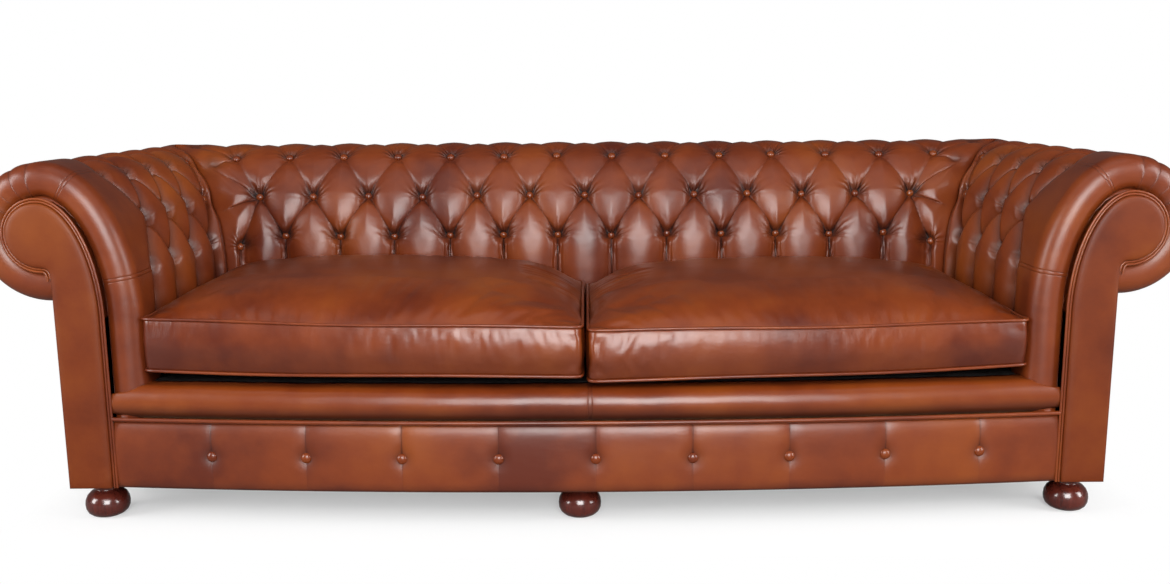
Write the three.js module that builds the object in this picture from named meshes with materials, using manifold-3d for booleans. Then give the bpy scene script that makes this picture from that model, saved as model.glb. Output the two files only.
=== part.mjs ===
// A large chesterfield sofa. A hardwood frame with scrolled front posts carries deep-buttoned arms
// and back of one height and one section, a buttoned and bowed front border, webbing, a sprung seat
// platform, two loose seat cushions and six turned bun feet.
//
// Millimetres. X runs to the right as the sofa is seen from the front, Y runs from the front to the
// back and Z runs up. The pieces are placed from the front plane of the arm facings, and at the end
// the whole sofa is moved so that its origin is on the floor, below the middle of its box.

import * as THREE from 'three';
import { mergeVertices } from 'three/addons/utils/BufferGeometryUtils.js';
import Module from 'manifold-3d';

const wasm = await Module();
wasm.setup();

// Fits
const gap = 0.3;
const overrun = 20;

// Seat
const seatHalfWidth = 920;
const seatDepth = 620;
const frameUnderside = 77;

// Section of the arms and the back, measured outwards from the inner face of the upholstery
const crestHeight = 760;
const crestRise = 320;
const crestSetback = 186;
const crestPadding = 72;
const rollRadius = 144;
const rollTuck = 36;

// Scrolled outline of the arm facings in the same section
const facingSetback = 65;
const scrollRadius = 75;
const notchSetback = 19;
const notchFillet = 20;

// Facings, posts and outer panels
const facingThickness = 14.7;
const facingBevel = 4;
const postInset = 5;
const postThickness = 32;
const panelThickness = 5;
const bullnoseLength = 46;
const bullnoseEdge = 10;

// Deep buttoning, measured along the section from the height where it starts to curve
const firstButtonRow = 92;
const buttonRowPitch = 112;
const buttonRowCount = 4;
const backButtonGaps = 13;
const armFirstButton = 172;
const armButtonPitch = 131;
const armButtonGaps = 3;
const buttonPitDepth = 38;
const pleatDepth = 13;
const pitReach = 66;
const pleatReach = 58;
const rowBelowButtons = -60;

// Bowed front
const bowEnd = 10.6;
const bowDepth = 49.6;

// Front border with its buttons
const borderThickness = 12;
const borderPleatDepth = 3;
const borderPitDepth = 8;
const borderShoulder = 26;
const borderButtonCount = 9;
const borderButtonMargin = 171.1;
const borderButtonShift = 20;
const borderButtonRise = 71;
const buttonRadius = 11;
const buttonDome = 7;
const buttonEdge = 2;

// Welts
const weltRadius = 4.5;
const facingWeltWidth = 13;
const facingWeltThickness = 6;
const cushionWeltRadius = 5;

// Lip roll in front of the seat platform
const lipDrop = 2.7;
const lipDepth = 62;
const lipProud = 2;
const lipFrontRadius = 26;

// Seat platform and webbing
const platformSideGap = 2;
const webbingThickness = 2;
const strapWidth = 60;
const longStrapCount = 8;
const longStrapMargin = 70;
const crossStrapCount = 3;
const crossStrapInset = 150;
const crossStrapMargin = 110;

// Seat cushions
const cushionBottomSeam = 333;
const cushionTopSeam = 428;
const cushionCrown = 57;
const cushionUnderCrown = 30;
const cushionBow = 70;
const cushionEndSetback = 20;
const cushionSideGap = 5;
const cushionBackGap = 8;
const cushionHalfGap = 2;
const cushionCorner = 34;
const cushionDrawIn = 6;
const borderHollow = 4;

// Frame rails
const railThickness = 45;
const railHeight = 142;
const frontRailThickness = 32;
const crossRailWidth = 60;
const crossRailDrop = 29;
const topRailDrop = 23;
const topRailClearance = 3;
const tackRailThickness = 25;
const tackRailHeight = 60;
const backTackRailRise = 18;
const uprightWidth = 60;
const backWebbingStrapCount = 7;
const backWebbingMargin = 50;
const backWebbingRise = 120;

// Feet, their bolts and the dust cover
const footFrontSetback = 18;
const centreFootX = -14;
const centreFootSetback = 39;
const footRadius = 45.5;
const footSoleRadius = 28;
const footNeckRadius = 24;
const footPlateRadius = 33;
const footPlateThickness = 9;
const footNeckHeight = 8;
const boltRadius = 5;
const boltClearance = 0.3;
const boltIntoFoot = 45;
const boltIntoRail = 63;
const dustCoverThickness = 1.7;
const dustCoverInset = 12;

// Heights and places that follow from these
const railTop = frameUnderside + railHeight;
const webbingBottom = railTop + gap;
const webbingTop = webbingBottom + webbingThickness;
const padBottom = webbingTop + gap;
const borderTop = webbingTop;
const curveStart = crestHeight - crestRise;
const rollCentre = crestHeight - rollRadius;
const facingTop = crestHeight - crestPadding;
const facingRise = facingTop - curveStart;
const facingOuterSetback = crestSetback - notchSetback;
const scrollCentre = facingTop - scrollRadius;
const postSetback = facingSetback + postInset;
const postOuterSetback = facingOuterSetback - postInset;
const bullnoseShrink = postSetback - bullnoseEdge;
const panelInner = postOuterSetback + gap;
const panelOuter = panelInner + panelThickness;
const panelTop = rollCentre - Math.sqrt(rollRadius ** 2 - (crestSetback - panelOuter) ** 2) - gap;
const postFront = facingThickness + gap;
const postBack = postFront + postThickness;
const rearPostFront = seatDepth + postSetback;
const rearPostBack = seatDepth + postOuterSetback;
const backButtonPitch = (2 * seatHalfWidth) / backButtonGaps;
const bowHalfWidth = seatHalfWidth + facingSetback;
const bowCentre = bowEnd - bowDepth;
const frontRailFace = borderThickness + gap;
const frontRailBack = frontRailFace + frontRailThickness;
const frontRailHalfWidth = seatHalfWidth + postSetback - gap;
const crossRailFront = bowCentre + frontRailBack + 2 * gap;
const crossRailTop = railTop - crossRailDrop;
const topRailUnderside = scrollCentre - topRailDrop;
const topRailRadius = scrollRadius - postInset - topRailClearance;
const platformTop = cushionBottomSeam - cushionUnderCrown - gap;
const lipTop = platformTop - lipDrop;
const postMiddle = (postSetback + postOuterSetback) / 2;
const footX = seatHalfWidth + postMiddle;
const frontFootY = postBack + footFrontSetback;
const rearFootY = seatDepth + postMiddle;
const centreFrontFootY = crossRailFront + centreFootSetback;
const dustCoverTop = frameUnderside - gap;
const dustCoverBottom = dustCoverTop - dustCoverThickness;
const footTop = dustCoverBottom - gap;
const boltBottom = footTop - boltIntoFoot;
const boltTop = frameUnderside + boltIntoRail;
const facingWeltSetback = facingSetback - 2 * gap - facingWeltWidth;
const frontHalfWidth = seatHalfWidth + facingWeltSetback - gap;
const borderButtonPitch = (2 * (frontHalfWidth - borderButtonMargin)) / (borderButtonCount - 1);
const borderButtonHeight = frameUnderside + borderButtonRise;

// Finishes
const leather = { color: 0x7a3418, roughness: 0.42, metalness: 0 };
const darkLeather = { color: 0x6a2c16, roughness: 0.45, metalness: 0 };
const welt = { color: 0x9a5230, roughness: 0.5, metalness: 0 };
const beech = { color: 0xc49a6c, roughness: 0.7, metalness: 0 };
const polishedWood = { color: 0x3a120c, roughness: 0.18, metalness: 0 };
const jute = { color: 0xa58a5e, roughness: 0.95, metalness: 0 };
const blackCloth = { color: 0x1c1a1a, roughness: 0.95, metalness: 0 };
const zincSteel = { color: 0x9a9c9e, roughness: 0.4, metalness: 1 };

const sofa = new THREE.Group();
const sides = [
  { name: 'left', sign: -1 },
  { name: 'right', sign: 1 },
];

function add(name, geometry, finish) {
  const shaded = weld(geometry);
  shaded.computeVertexNormals();
  const mesh = new THREE.Mesh(shaded, new THREE.MeshStandardMaterial(finish));
  mesh.name = name;
  sofa.add(mesh);
}

// Joining and cutting

function weld(geometry) {
  const plain = geometry.clone();
  plain.deleteAttribute('normal');
  plain.deleteAttribute('uv');
  return mergeVertices(plain);
}

function turnFaces(geometry) {
  const index = geometry.index.array;
  for (let i = 0; i < index.length; i += 3) {
    [index[i], index[i + 1]] = [index[i + 1], index[i]];
  }
  return geometry;
}

function toSolid(geometry) {
  const welded = weld(geometry);
  return new wasm.Manifold(new wasm.Mesh({
    numProp: 3,
    vertProperties: Float32Array.from(welded.attributes.position.array),
    triVerts: Uint32Array.from(welded.index.array),
  }));
}

function toGeometry(solid) {
  const mesh = solid.getMesh();
  const geometry = new THREE.BufferGeometry();
  geometry.setAttribute('position', new THREE.BufferAttribute(mesh.vertProperties, mesh.numProp));
  geometry.setIndex(new THREE.BufferAttribute(mesh.triVerts, 1));
  return geometry;
}

// A section drawn as (setback, height) is carried into the sofa by one of these frames: its first
// axis points outwards from the seat, its second up, and its third along the arm or the back.
function armFrame(sign) {
  return new THREE.Matrix4()
    .makeBasis(
      new THREE.Vector3(sign, 0, 0),
      new THREE.Vector3(0, 0, 1),
      new THREE.Vector3(0, 1, 0),
    )
    .setPosition(sign * seatHalfWidth, 0, 0);
}

const backFrame = new THREE.Matrix4()
  .makeBasis(
    new THREE.Vector3(0, 1, 0),
    new THREE.Vector3(0, 0, 1),
    new THREE.Vector3(1, 0, 0),
  )
  .setPosition(0, seatDepth, 0);

function carry(geometry, frame) {
  const placed = weld(geometry).applyMatrix4(frame);
  return frame.determinant() < 0 ? turnFaces(placed) : placed;
}

function box(low, high) {
  const size = high.map((value, axis) => value - low[axis]);
  const centre = high.map((value, axis) => (value + low[axis]) / 2);
  return new THREE.BoxGeometry(...size).translate(...centre);
}

// An outline drawn in (setback, height) and drawn out along an arm or the back
function sweep(shape, start, end, frame, segments = 4) {
  const swept = new THREE.ExtrudeGeometry(shape, {
    depth: end - start,
    bevelEnabled: false,
    curveSegments: segments,
  });
  return carry(swept.translate(0, 0, start), frame);
}

// A closed body through rings of like count. Quads are split in alternate directions, so that a
// pleat that crosses them at a slant keeps its valley. The two end rings are capped.
function loft(rings, flatten) {
  const count = rings[0].length;
  const index = [];
  for (let ring = 0; ring < rings.length - 1; ring += 1) {
    for (let i = 0; i < count; i += 1) {
      const next = (i + 1) % count;
      const a = ring * count + i;
      const b = ring * count + next;
      const c = b + count;
      const d = a + count;
      if ((ring + i) % 2 === 0) index.push(a, b, c, a, c, d);
      else index.push(a, b, d, b, c, d);
    }
  }
  const last = (rings.length - 1) * count;
  for (const [a, b, c] of capFaces(rings[0].map(flatten))) index.push(a, c, b);
  for (const [a, b, c] of capFaces(rings.at(-1).map(flatten))) index.push(last + a, last + b, last + c);

  const geometry = new THREE.BufferGeometry();
  geometry.setFromPoints(rings.flat());
  geometry.setIndex(index);
  return signedVolume(geometry) < 0 ? turnFaces(geometry) : geometry;
}

function capFaces(outline) {
  const turn = THREE.ShapeUtils.area(outline);
  return THREE.ShapeUtils.triangulateShape([...outline], []).map(([a, b, c]) => {
    const along = THREE.ShapeUtils.area([outline[a], outline[b], outline[c]]) * turn > 0;
    return along ? [a, b, c] : [a, c, b];
  });
}

function signedVolume(geometry) {
  const position = geometry.attributes.position;
  const index = geometry.index.array;
  const [a, b, c] = [new THREE.Vector3(), new THREE.Vector3(), new THREE.Vector3()];
  let volume = 0;
  for (let i = 0; i < index.length; i += 3) {
    a.fromBufferAttribute(position, index[i]);
    b.fromBufferAttribute(position, index[i + 1]);
    c.fromBufferAttribute(position, index[i + 2]);
    volume += a.dot(b.cross(c)) / 6;
  }
  return volume;
}

const flattenAcross = (point) => new THREE.Vector2(point.y, point.z);
const flattenAlong = (point) => new THREE.Vector2(point.x, point.y);

// A path through chosen stations. A section that is drawn out along it turns at each station.
class StationPath extends THREE.Curve {
  constructor(stations) {
    super();
    this.stations = stations;
  }

  getPoint(t, target = new THREE.Vector3()) {
    const place = t * (this.stations.length - 1);
    const first = Math.min(Math.floor(place), this.stations.length - 2);
    return target.lerpVectors(this.stations[first], this.stations[first + 1], place - first);
  }

  getPointAt(t, target) {
    return this.getPoint(t, target);
  }

  getTangentAt(t, target) {
    return this.getTangent(t, target);
  }
}

// An outline drawn in plan and drawn out upwards
function upright(shape, low, high, segments = 3) {
  const depth = high - low;
  return new THREE.ExtrudeGeometry(shape, { depth, bevelEnabled: false, curveSegments: segments })
    .translate(0, 0, low);
}

function cord(stations, section, segments = 3) {
  return new THREE.ExtrudeGeometry(section, {
    steps: stations.length - 1,
    curveSegments: segments,
    extrudePath: new StationPath(stations),
  });
}

function roundSection(radius) {
  return new THREE.Shape().absarc(0, 0, radius, 0, 2 * Math.PI);
}

// The scrolled section

const rollEnd = Math.PI / 2 + Math.asin(rollTuck / rollRadius);

function padSkin() {
  const path = new THREE.CurvePath();
  path.add(new THREE.LineCurve(new THREE.Vector2(0, padBottom), new THREE.Vector2(0, curveStart)));
  path.add(new THREE.EllipseCurve(
    crestSetback, curveStart, crestSetback, crestRise, Math.PI, Math.PI / 2, true,
  ));
  path.add(new THREE.EllipseCurve(
    crestSetback, rollCentre, rollRadius, rollRadius, Math.PI / 2, -rollEnd, true,
  ));
  return path;
}

const skin = padSkin();
const skinLength = skin.getLength();
const skinBase = curveStart - padBottom;
const lastButtonRow = firstButtonRow + (buttonRowCount - 1) * buttonRowPitch;
const skinEndRow = skinLength - skinBase;

// The outline of a scroll, grown or, with a negative value, shrunk from the facing's own
function scrollShape(grow) {
  const inner = facingSetback - grow;
  const outer = facingOuterSetback + grow;
  const underside = scrollCentre - scrollRadius - grow;
  const shape = new THREE.Shape();
  shape.moveTo(outer, frameUnderside);
  shape.lineTo(inner, frameUnderside);
  shape.lineTo(inner, curveStart);
  const reach = crestSetback - inner;
  shape.absellipse(crestSetback, curveStart, reach, facingRise + grow, Math.PI, Math.PI / 2, true);
  shape.absarc(crestSetback, scrollCentre, scrollRadius + grow, Math.PI / 2, -Math.PI / 2, true);
  shape.quadraticCurveTo(outer, underside, outer, underside - notchFillet);
  return shape;
}

// Deep buttoning: buttons in staggered rows, pleats from each button to its neighbours in the next
// row, and straight pleats from the lowest row down and from the highest row on over the roll

function buttonColumns(first, pitch, gaps, row) {
  const stagger = row % 2;
  return Array.from({ length: gaps + 1 }, (_, i) => first + (i + stagger / 2) * pitch);
}

function pleatLines(first, pitch, gaps) {
  const lines = [];
  for (let row = 0; row < buttonRowCount; row += 1) {
    const height = firstButtonRow + row * buttonRowPitch;
    for (const along of buttonColumns(first, pitch, gaps, row)) {
      const button = new THREE.Vector2(along, height);
      if (row === 0) lines.push([button, new THREE.Vector2(along, -skinBase)]);
      if (row === buttonRowCount - 1) {
        lines.push([button, new THREE.Vector2(along, skinEndRow)]);
        continue;
      }
      for (const next of buttonColumns(first, pitch, gaps, row + 1)) {
        if (Math.abs(next - along) < pitch) {
          lines.push([button, new THREE.Vector2(next, height + buttonRowPitch)]);
        }
      }
    }
  }
  return lines.map(([button, end]) => ({ button, end, buttoned: isButtonRow(end.y) }));
}

function isButtonRow(height) {
  return height >= firstButtonRow && height <= lastButtonRow;
}

function tuftDepth(along, height, lines) {
  const point = new THREE.Vector2(along, height);
  let depth = 0;
  for (const { button, end, buttoned } of lines) {
    const run = end.clone().sub(button);
    const share = THREE.MathUtils.clamp(point.clone().sub(button).dot(run) / run.lengthSq(), 0, 1);
    const distance = point.distanceTo(button.clone().addScaledVector(run, share));
    const toButton = Math.min(point.distanceTo(button), buttoned ? point.distanceTo(end) : Infinity);
    const pit = Math.max(0, 1 - toButton / pitReach);
    const side = Math.max(0, 1 - distance / pleatReach);
    depth = Math.max(depth, (pleatDepth + (buttonPitDepth - pleatDepth) * pit * pit) * side * side);
  }
  return depth;
}

// Rows of the padded skin: below the buttons, at and between the buttons, and round the roll
function skinRows() {
  const rows = [-skinBase, rowBelowButtons];
  for (let i = 0; i < 2 * buttonRowCount - 1; i += 1) rows.push(firstButtonRow + (i * buttonRowPitch) / 2);
  const rest = skinEndRow - lastButtonRow;
  const restRows = 7;
  for (let i = 1; i <= restRows; i += 1) rows.push(lastButtonRow + (rest * i) / restRows);
  return rows;
}

function padRing(along, rows, lines, shrink) {
  const ring = rows.map((row) => {
    const share = (row + skinBase) / skinLength;
    const point = skin.getPoint(share);
    const tangent = skin.getTangent(share);
    const inset = shrink + tuftDepth(along, row, lines);
    return new THREE.Vector3(point.x + tangent.y * inset, point.y - tangent.x * inset, along);
  });
  ring.push(new THREE.Vector3(postMiddle, padBottom, along));
  return ring;
}

function hollowPad(rings, start, end) {
  const core = sweep(scrollShape(gap - postInset), start, end, new THREE.Matrix4());
  return toSolid(loft(rings, flattenAlong)).subtract(toSolid(core));
}

// The corner between an arm and the back is cut at 45 degrees in plan. keepBack is 1 for the back's
// side of the cut and -1 for the arm's.
function mitre(solid, sign, keepBack) {
  const normal = [-sign * keepBack * Math.SQRT1_2, keepBack * Math.SQRT1_2, 0];
  const line = keepBack * (seatDepth - seatHalfWidth) * Math.SQRT1_2;
  return solid.trimByPlane(normal, line + gap / 2);
}

// At the rear corners the roll is rounded in plan, about the point where the two crests meet
function roundCorner(solid, sign) {
  const [x, y] = [sign * (seatHalfWidth + crestSetback), seatDepth + crestSetback];
  const reach = sign * (rollRadius + overrun);
  const [low, high] = [frameUnderside, crestHeight + overrun];
  const corner = box(
    [Math.min(x, x + reach), y, low],
    [Math.max(x, x + reach), y + rollRadius + overrun, high],
  );
  const round = upright(roundSection(rollRadius), low - overrun, high + overrun, 8).translate(x, y, 0);
  return solid.subtract(toSolid(corner).subtract(toSolid(round)));
}

function carried(solid, frame) {
  return toSolid(carry(toGeometry(solid), frame));
}

// Upholstered back and arms

const rows = skinRows();
const cornerReach = crestSetback + rollRadius + overrun;

function backPad() {
  const first = -seatHalfWidth - backButtonPitch;
  const gaps = backButtonGaps + 2;
  const lines = pleatLines(first, backButtonPitch, gaps);
  const end = seatHalfWidth + cornerReach;
  const step = backButtonPitch / 4;
  const extra = Math.ceil((end - seatHalfWidth) / step / 2) * 2;
  const count = backButtonGaps * 4 + 2 * extra;
  const start = -seatHalfWidth - extra * step;
  const rings = Array.from({ length: count + 1 }, (_, i) => padRing(start + i * step, rows, lines, 0));
  let pad = carried(hollowPad(rings, start - overrun, -start + overrun), backFrame);
  for (const { sign } of sides) pad = roundCorner(mitre(pad, sign, 1), sign);
  return toGeometry(pad);
}

function armPad(sign) {
  const lines = pleatLines(armFirstButton, armButtonPitch, armButtonGaps + 2);
  const step = armButtonPitch / 4;
  const noseEnd = postFront + bullnoseLength;
  const rings = [];
  const noseSteps = 4;
  for (let i = 0; i < noseSteps; i += 1) {
    const turn = (i / noseSteps) * (Math.PI / 2);
    const along = noseEnd - bullnoseLength * Math.cos(turn);
    rings.push(padRing(along, rows, [], bullnoseShrink * (1 - Math.sin(turn))));
  }
  rings.push(padRing(noseEnd, rows, [], 0));
  rings.push(padRing((noseEnd + armFirstButton) / 2, rows, lines, 0));
  const count = Math.ceil((seatDepth + cornerReach - armFirstButton) / step);
  for (let i = 0; i <= count; i += 1) rings.push(padRing(armFirstButton + i * step, rows, lines, 0));
  const core = hollowPad(rings, postFront - overrun, seatDepth + cornerReach + 2 * overrun);
  return toGeometry(roundCorner(mitre(carried(core, armFrame(sign)), sign, -1), sign));
}

// The arm without its buttoning, a little larger, which cuts its neighbours
function armEnvelope(sign) {
  const noseEnd = postFront + bullnoseLength;
  const noseSteps = 8;
  const rings = [padRing(postFront - gap, rows, [], bullnoseShrink - gap)];
  for (let i = 0; i <= noseSteps; i += 1) {
    const turn = (i / noseSteps) * (Math.PI / 2);
    const along = noseEnd - gap - bullnoseLength * Math.cos(turn);
    rings.push(padRing(along, rows, [], bullnoseShrink * (1 - Math.sin(turn)) - gap));
  }
  rings.push(padRing(seatDepth, rows, [], -gap));
  return toSolid(carry(loft(rings, flattenAlong), armFrame(sign)));
}

add('back_pad', backPad(), leather);
for (const { name, sign } of sides) add(`${name}_arm_pad`, armPad(sign), leather);

// Scrolled facings, their double welts, the front posts and the outer panels

const facingSegments = 5;

function facing(frame) {
  const plain = new THREE.ExtrudeGeometry(scrollShape(0), {
    depth: facingThickness - 2 * facingBevel,
    bevelThickness: facingBevel,
    bevelSize: facingBevel,
    bevelOffset: -facingBevel,
    bevelSegments: 1,
    curveSegments: facingSegments,
  });
  return carry(plain.translate(0, 0, facingBevel), frame);
}

// The double welt starts at the bottom of the inner edge and ends under the scroll, at the notch
function facingWelt(frame) {
  const outline = scrollShape(2 * gap + facingWeltWidth / 2);
  const path = new THREE.CurvePath();
  path.curves = outline.curves.slice(1);
  const along = facingThickness - facingWeltThickness / 2;
  const stations = path.getPoints(facingSegments)
    .map((point) => new THREE.Vector3(point.x, point.y, along));
  const capsule = new THREE.Shape();
  const reach = (facingWeltWidth - facingWeltThickness) / 2;
  capsule.absarc(0, reach, facingWeltThickness / 2, 0, Math.PI);
  capsule.absarc(0, -reach, facingWeltThickness / 2, Math.PI, 2 * Math.PI);
  return carry(cord(stations, capsule, 2), frame);
}

for (const { name, sign } of sides) {
  const frame = armFrame(sign);
  add(`${name}_facing`, facing(frame), darkLeather);
  add(`${name}_facing_welt`, facingWelt(frame), welt);
  add(`${name}_front_post`, sweep(scrollShape(-postInset), postFront, postBack, frame), beech);
}

for (const { name, sign } of sides) {
  const inner = sign * (seatHalfWidth + panelInner);
  const outer = sign * (seatHalfWidth + panelOuter);
  const panel = box(
    [Math.min(inner, outer), postFront, frameUnderside],
    [Math.max(inner, outer), seatDepth + panelOuter, panelTop],
  );
  add(`${name}_outside_arm`, panel, darkLeather);
}

add('outside_back', box(
  [-(seatHalfWidth + postOuterSetback), seatDepth + panelInner, frameUnderside],
  [seatHalfWidth + postOuterSetback, seatDepth + panelOuter, panelTop],
), darkLeather);

// Bowed front: rail, buttoned border, welt and lip roll

function bow(x) {
  const share = Math.min(1, Math.abs(x) / bowHalfWidth);
  return bowEnd - bowDepth * (1 - share * share);
}

function spread(low, high, count) {
  return Array.from({ length: count + 1 }, (_, i) => low + ((high - low) * i) / count);
}

// How far the bowed face turns away from the X axis at a place
function bowTurn(x) {
  return Math.atan((2 * bowDepth * x) / (bowHalfWidth * bowHalfWidth));
}

// A plan outline that follows the bow at its front and back
function bowedPlan(halfWidth, front, back, segments) {
  const stations = spread(-halfWidth, halfWidth, segments);
  const outline = [
    ...stations.map((x) => new THREE.Vector2(x, bow(x) + front)),
    ...stations.reverse().map((x) => new THREE.Vector2(x, bow(x) + back)),
  ];
  return new THREE.Shape(outline);
}

add('front_rail', upright(
  bowedPlan(frontRailHalfWidth, frontRailFace, frontRailBack, 12),
  frameUnderside, railTop,
), beech);

const borderButtons = Array.from({ length: borderButtonCount }, (_, i) => (
  borderButtonShift + (i - (borderButtonCount - 1) / 2) * borderButtonPitch
));

// How far the border's face is drawn in at a place: a pleat at each button, deeper at the button
function borderDepth(x, z) {
  let depth = 0;
  for (const button of borderButtons) {
    const side = Math.max(0, 1 - Math.abs(x - button) / borderShoulder);
    const rise = Math.max(0, 1 - Math.abs(z - borderButtonHeight) / borderShoulder);
    depth = Math.max(depth, side * (borderPleatDepth + (borderPitDepth - borderPleatDepth) * rise));
  }
  return depth;
}

function frontBorder() {
  const stations = [-frontHalfWidth];
  for (const button of borderButtons) {
    stations.push(button - borderShoulder, button, button + borderShoulder);
    stations.push(Math.min(button + borderButtonPitch / 2, frontHalfWidth));
  }
  const heights = [
    frameUnderside,
    borderButtonHeight - borderShoulder,
    borderButtonHeight,
    borderButtonHeight + borderShoulder,
    borderTop,
  ];
  if (stations.at(-1) < frontHalfWidth) stations.push(frontHalfWidth);
  const rings = stations.map((x) => [
    ...heights.map((z) => new THREE.Vector3(x, bow(x) + borderDepth(x, z), z)),
    new THREE.Vector3(x, bow(x) + borderThickness, borderTop),
    new THREE.Vector3(x, bow(x) + borderThickness, frameUnderside),
  ]);
  return loft(rings, flattenAcross);
}

add('front_border', frontBorder(), leather);

// A covered button: a shallow dome on a short rim, turned about the axis that points to the front
function coveredButton(x, y, z) {
  const shoulderShare = 0.75;
  const profile = [
    new THREE.Vector2(0, 0),
    new THREE.Vector2(buttonRadius, 0),
    new THREE.Vector2(buttonRadius, buttonEdge),
    new THREE.Vector2(buttonRadius * shoulderShare, buttonDome * shoulderShare),
    new THREE.Vector2(0, buttonDome),
  ];
  return new THREE.LatheGeometry(profile, 10).rotateX(Math.PI).rotateZ(bowTurn(x)).translate(x, y, z);
}

// The button's rim meets the flanks of its pit
const rimShare = (Math.SQRT1_2 * buttonRadius) / borderShoulder;
const seatInPit = borderPitDepth - (2 * borderPitDepth - borderPleatDepth) * rimShare - gap;
borderButtons.forEach((x, i) => {
  add(`front_button_${i + 1}`, coveredButton(x, bow(x) + seatInPit, borderButtonHeight), leather);
});

function railWelt() {
  const height = borderTop + gap + weltRadius;
  const stations = spread(-frontHalfWidth, frontHalfWidth, 16);
  return cord(stations.map((x) => new THREE.Vector3(x, bow(x) - gap, height)), roundSection(weltRadius));
}

add('rail_welt', railWelt(), welt);

function lipRoll() {
  const bottom = borderTop + gap;
  const section = new THREE.Shape();
  section.moveTo(lipDepth, bottom);
  section.lineTo(lipDepth, lipTop);
  section.lineTo(lipFrontRadius, lipTop);
  section.absarc(lipFrontRadius, lipTop - lipFrontRadius, lipFrontRadius, Math.PI / 2, Math.PI);
  section.absarc(lipFrontRadius, bottom + lipFrontRadius, lipFrontRadius, Math.PI, (3 * Math.PI) / 2);
  const outline = section.extractPoints(2).shape;
  const rings = spread(-frontHalfWidth, frontHalfWidth, 16).map((x) => (
    outline.map((point) => new THREE.Vector3(x, bow(x) - lipProud + point.x, point.y))
  ));
  let roll = toSolid(loft(rings, flattenAcross));
  for (const { sign } of sides) roll = roll.subtract(armEnvelope(sign));
  return toGeometry(roll);
}

add('seat_lip_roll', lipRoll(), leather);

// Seat platform and webbing

function seatPlatform() {
  const halfWidth = seatHalfWidth - platformSideGap;
  const front = lipDepth - lipProud + gap;
  const stations = spread(-halfWidth, halfWidth, 12);
  const back = seatDepth - platformSideGap;
  const outline = [
    ...stations.map((x) => new THREE.Vector2(x, bow(x) + front)),
    new THREE.Vector2(halfWidth, back),
    new THREE.Vector2(-halfWidth, back),
  ];
  return upright(new THREE.Shape(outline), padBottom, platformTop);
}

add('seat_platform', seatPlatform(), blackCloth);

function joined(geometries) {
  return toGeometry(geometries.map(toSolid).reduce((whole, piece) => whole.add(piece)));
}

// Straps run from the front rail to the rear rail and across to the side rails
function seatWebbing() {
  const straps = [];
  const rear = rearFootY + railThickness / 2 - gap;
  const reach = seatHalfWidth - longStrapMargin;
  for (const x of spread(-reach, reach, longStrapCount - 1)) {
    const front = bow(Math.abs(x) - strapWidth / 2) + frontRailFace + frontRailThickness / 4;
    straps.push(box([x - strapWidth / 2, front, webbingBottom], [x + strapWidth / 2, rear, webbingTop]));
  }
  const halfWidth = footX + railThickness / 2 - gap;
  for (const y of spread(crossStrapInset, seatDepth - crossStrapMargin, crossStrapCount - 1)) {
    straps.push(box(
      [-halfWidth, y - strapWidth / 2, webbingBottom],
      [halfWidth, y + strapWidth / 2, webbingTop],
    ));
  }
  return joined(straps);
}

add('seat_webbing', seatWebbing(), jute);

// Back webbing lies against the inside of the back pad, from the webbing of the seat to the roll
function backWebbing() {
  const face = postSetback;
  const riseShare = backWebbingRise / (facingRise - postInset);
  const topSetback = crestSetback - (crestSetback - postSetback) * Math.sqrt(1 - riseShare * riseShare);
  const midShare = riseShare / 2;
  const midSetback = crestSetback - (crestSetback - postSetback) * Math.sqrt(1 - midShare * midShare);
  const line = [
    new THREE.Vector2(face, padBottom + overrun),
    new THREE.Vector2(face, curveStart),
    new THREE.Vector2(midSetback + gap, curveStart + backWebbingRise / 2),
    new THREE.Vector2(topSetback + gap, curveStart + backWebbingRise),
  ];
  const behind = line.map((point) => new THREE.Vector2(point.x + webbingThickness, point.y)).reverse();
  const band = new THREE.Shape([...line, ...behind]);
  const straps = [];
  const reach = seatHalfWidth - backWebbingMargin;
  for (const x of spread(-reach, reach, backWebbingStrapCount - 1)) {
    straps.push(sweep(band, x - strapWidth / 2, x + strapWidth / 2, backFrame));
  }
  const beltBottom = (padBottom + curveStart - strapWidth) / 2;
  straps.push(box(
    [-reach - strapWidth / 2, seatDepth + face, beltBottom],
    [reach + strapWidth / 2, seatDepth + face + webbingThickness, beltBottom + strapWidth],
  ));
  return joined(straps);
}

add('back_webbing', backWebbing(), jute);

// Seat cushions. Each is a ring of stations from its inner to its outer side; a station's ring runs
// up the front border, over the crown, down the back border and back under the cushion.

const cushionInner = cushionHalfGap + 2 * cushionWeltRadius + gap;
const cushionOuter = seatHalfWidth - cushionSideGap - 2 * cushionWeltRadius - gap;
const cushionCentre = (cushionInner + cushionOuter) / 2;
const cushionHalf = (cushionOuter - cushionInner) / 2;
const cushionBack = seatDepth - cushionBackGap - 2 * cushionWeltRadius - gap;

function cushionFront(x) {
  const share = x / (seatHalfWidth - cushionSideGap);
  return cushionEndSetback - cushionBow * (1 - share * share) + 2 * cushionWeltRadius + gap;
}

// The corners are rounded in plan: shares of the corner radius in from the side and from the front
const cornerShares = [[0, 1], [0.3, 0.3], [1, 0]];
const crownShares = [0.03, 0.09, 0.2, 0.4, 0.6, 0.8, 0.91, 0.97];

function cushionStations() {
  const corner = cornerShares.map(([side, end]) => (
    { from: side * cushionCorner, trim: end * cushionCorner }
  ));
  const middle = spread(cushionInner + cushionCorner, cushionOuter - cushionCorner, 10).slice(1, -1);
  return [
    ...corner.map(({ from, trim }) => ({ x: cushionInner + from, trim })),
    ...middle.map((x) => ({ x, trim: 0 })),
    ...corner.reverse().map(({ from, trim }) => ({ x: cushionOuter - from, trim })),
  ];
}

function cushionEdges({ x, trim }) {
  return { front: cushionFront(x) + trim, back: cushionBack - trim };
}

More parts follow.
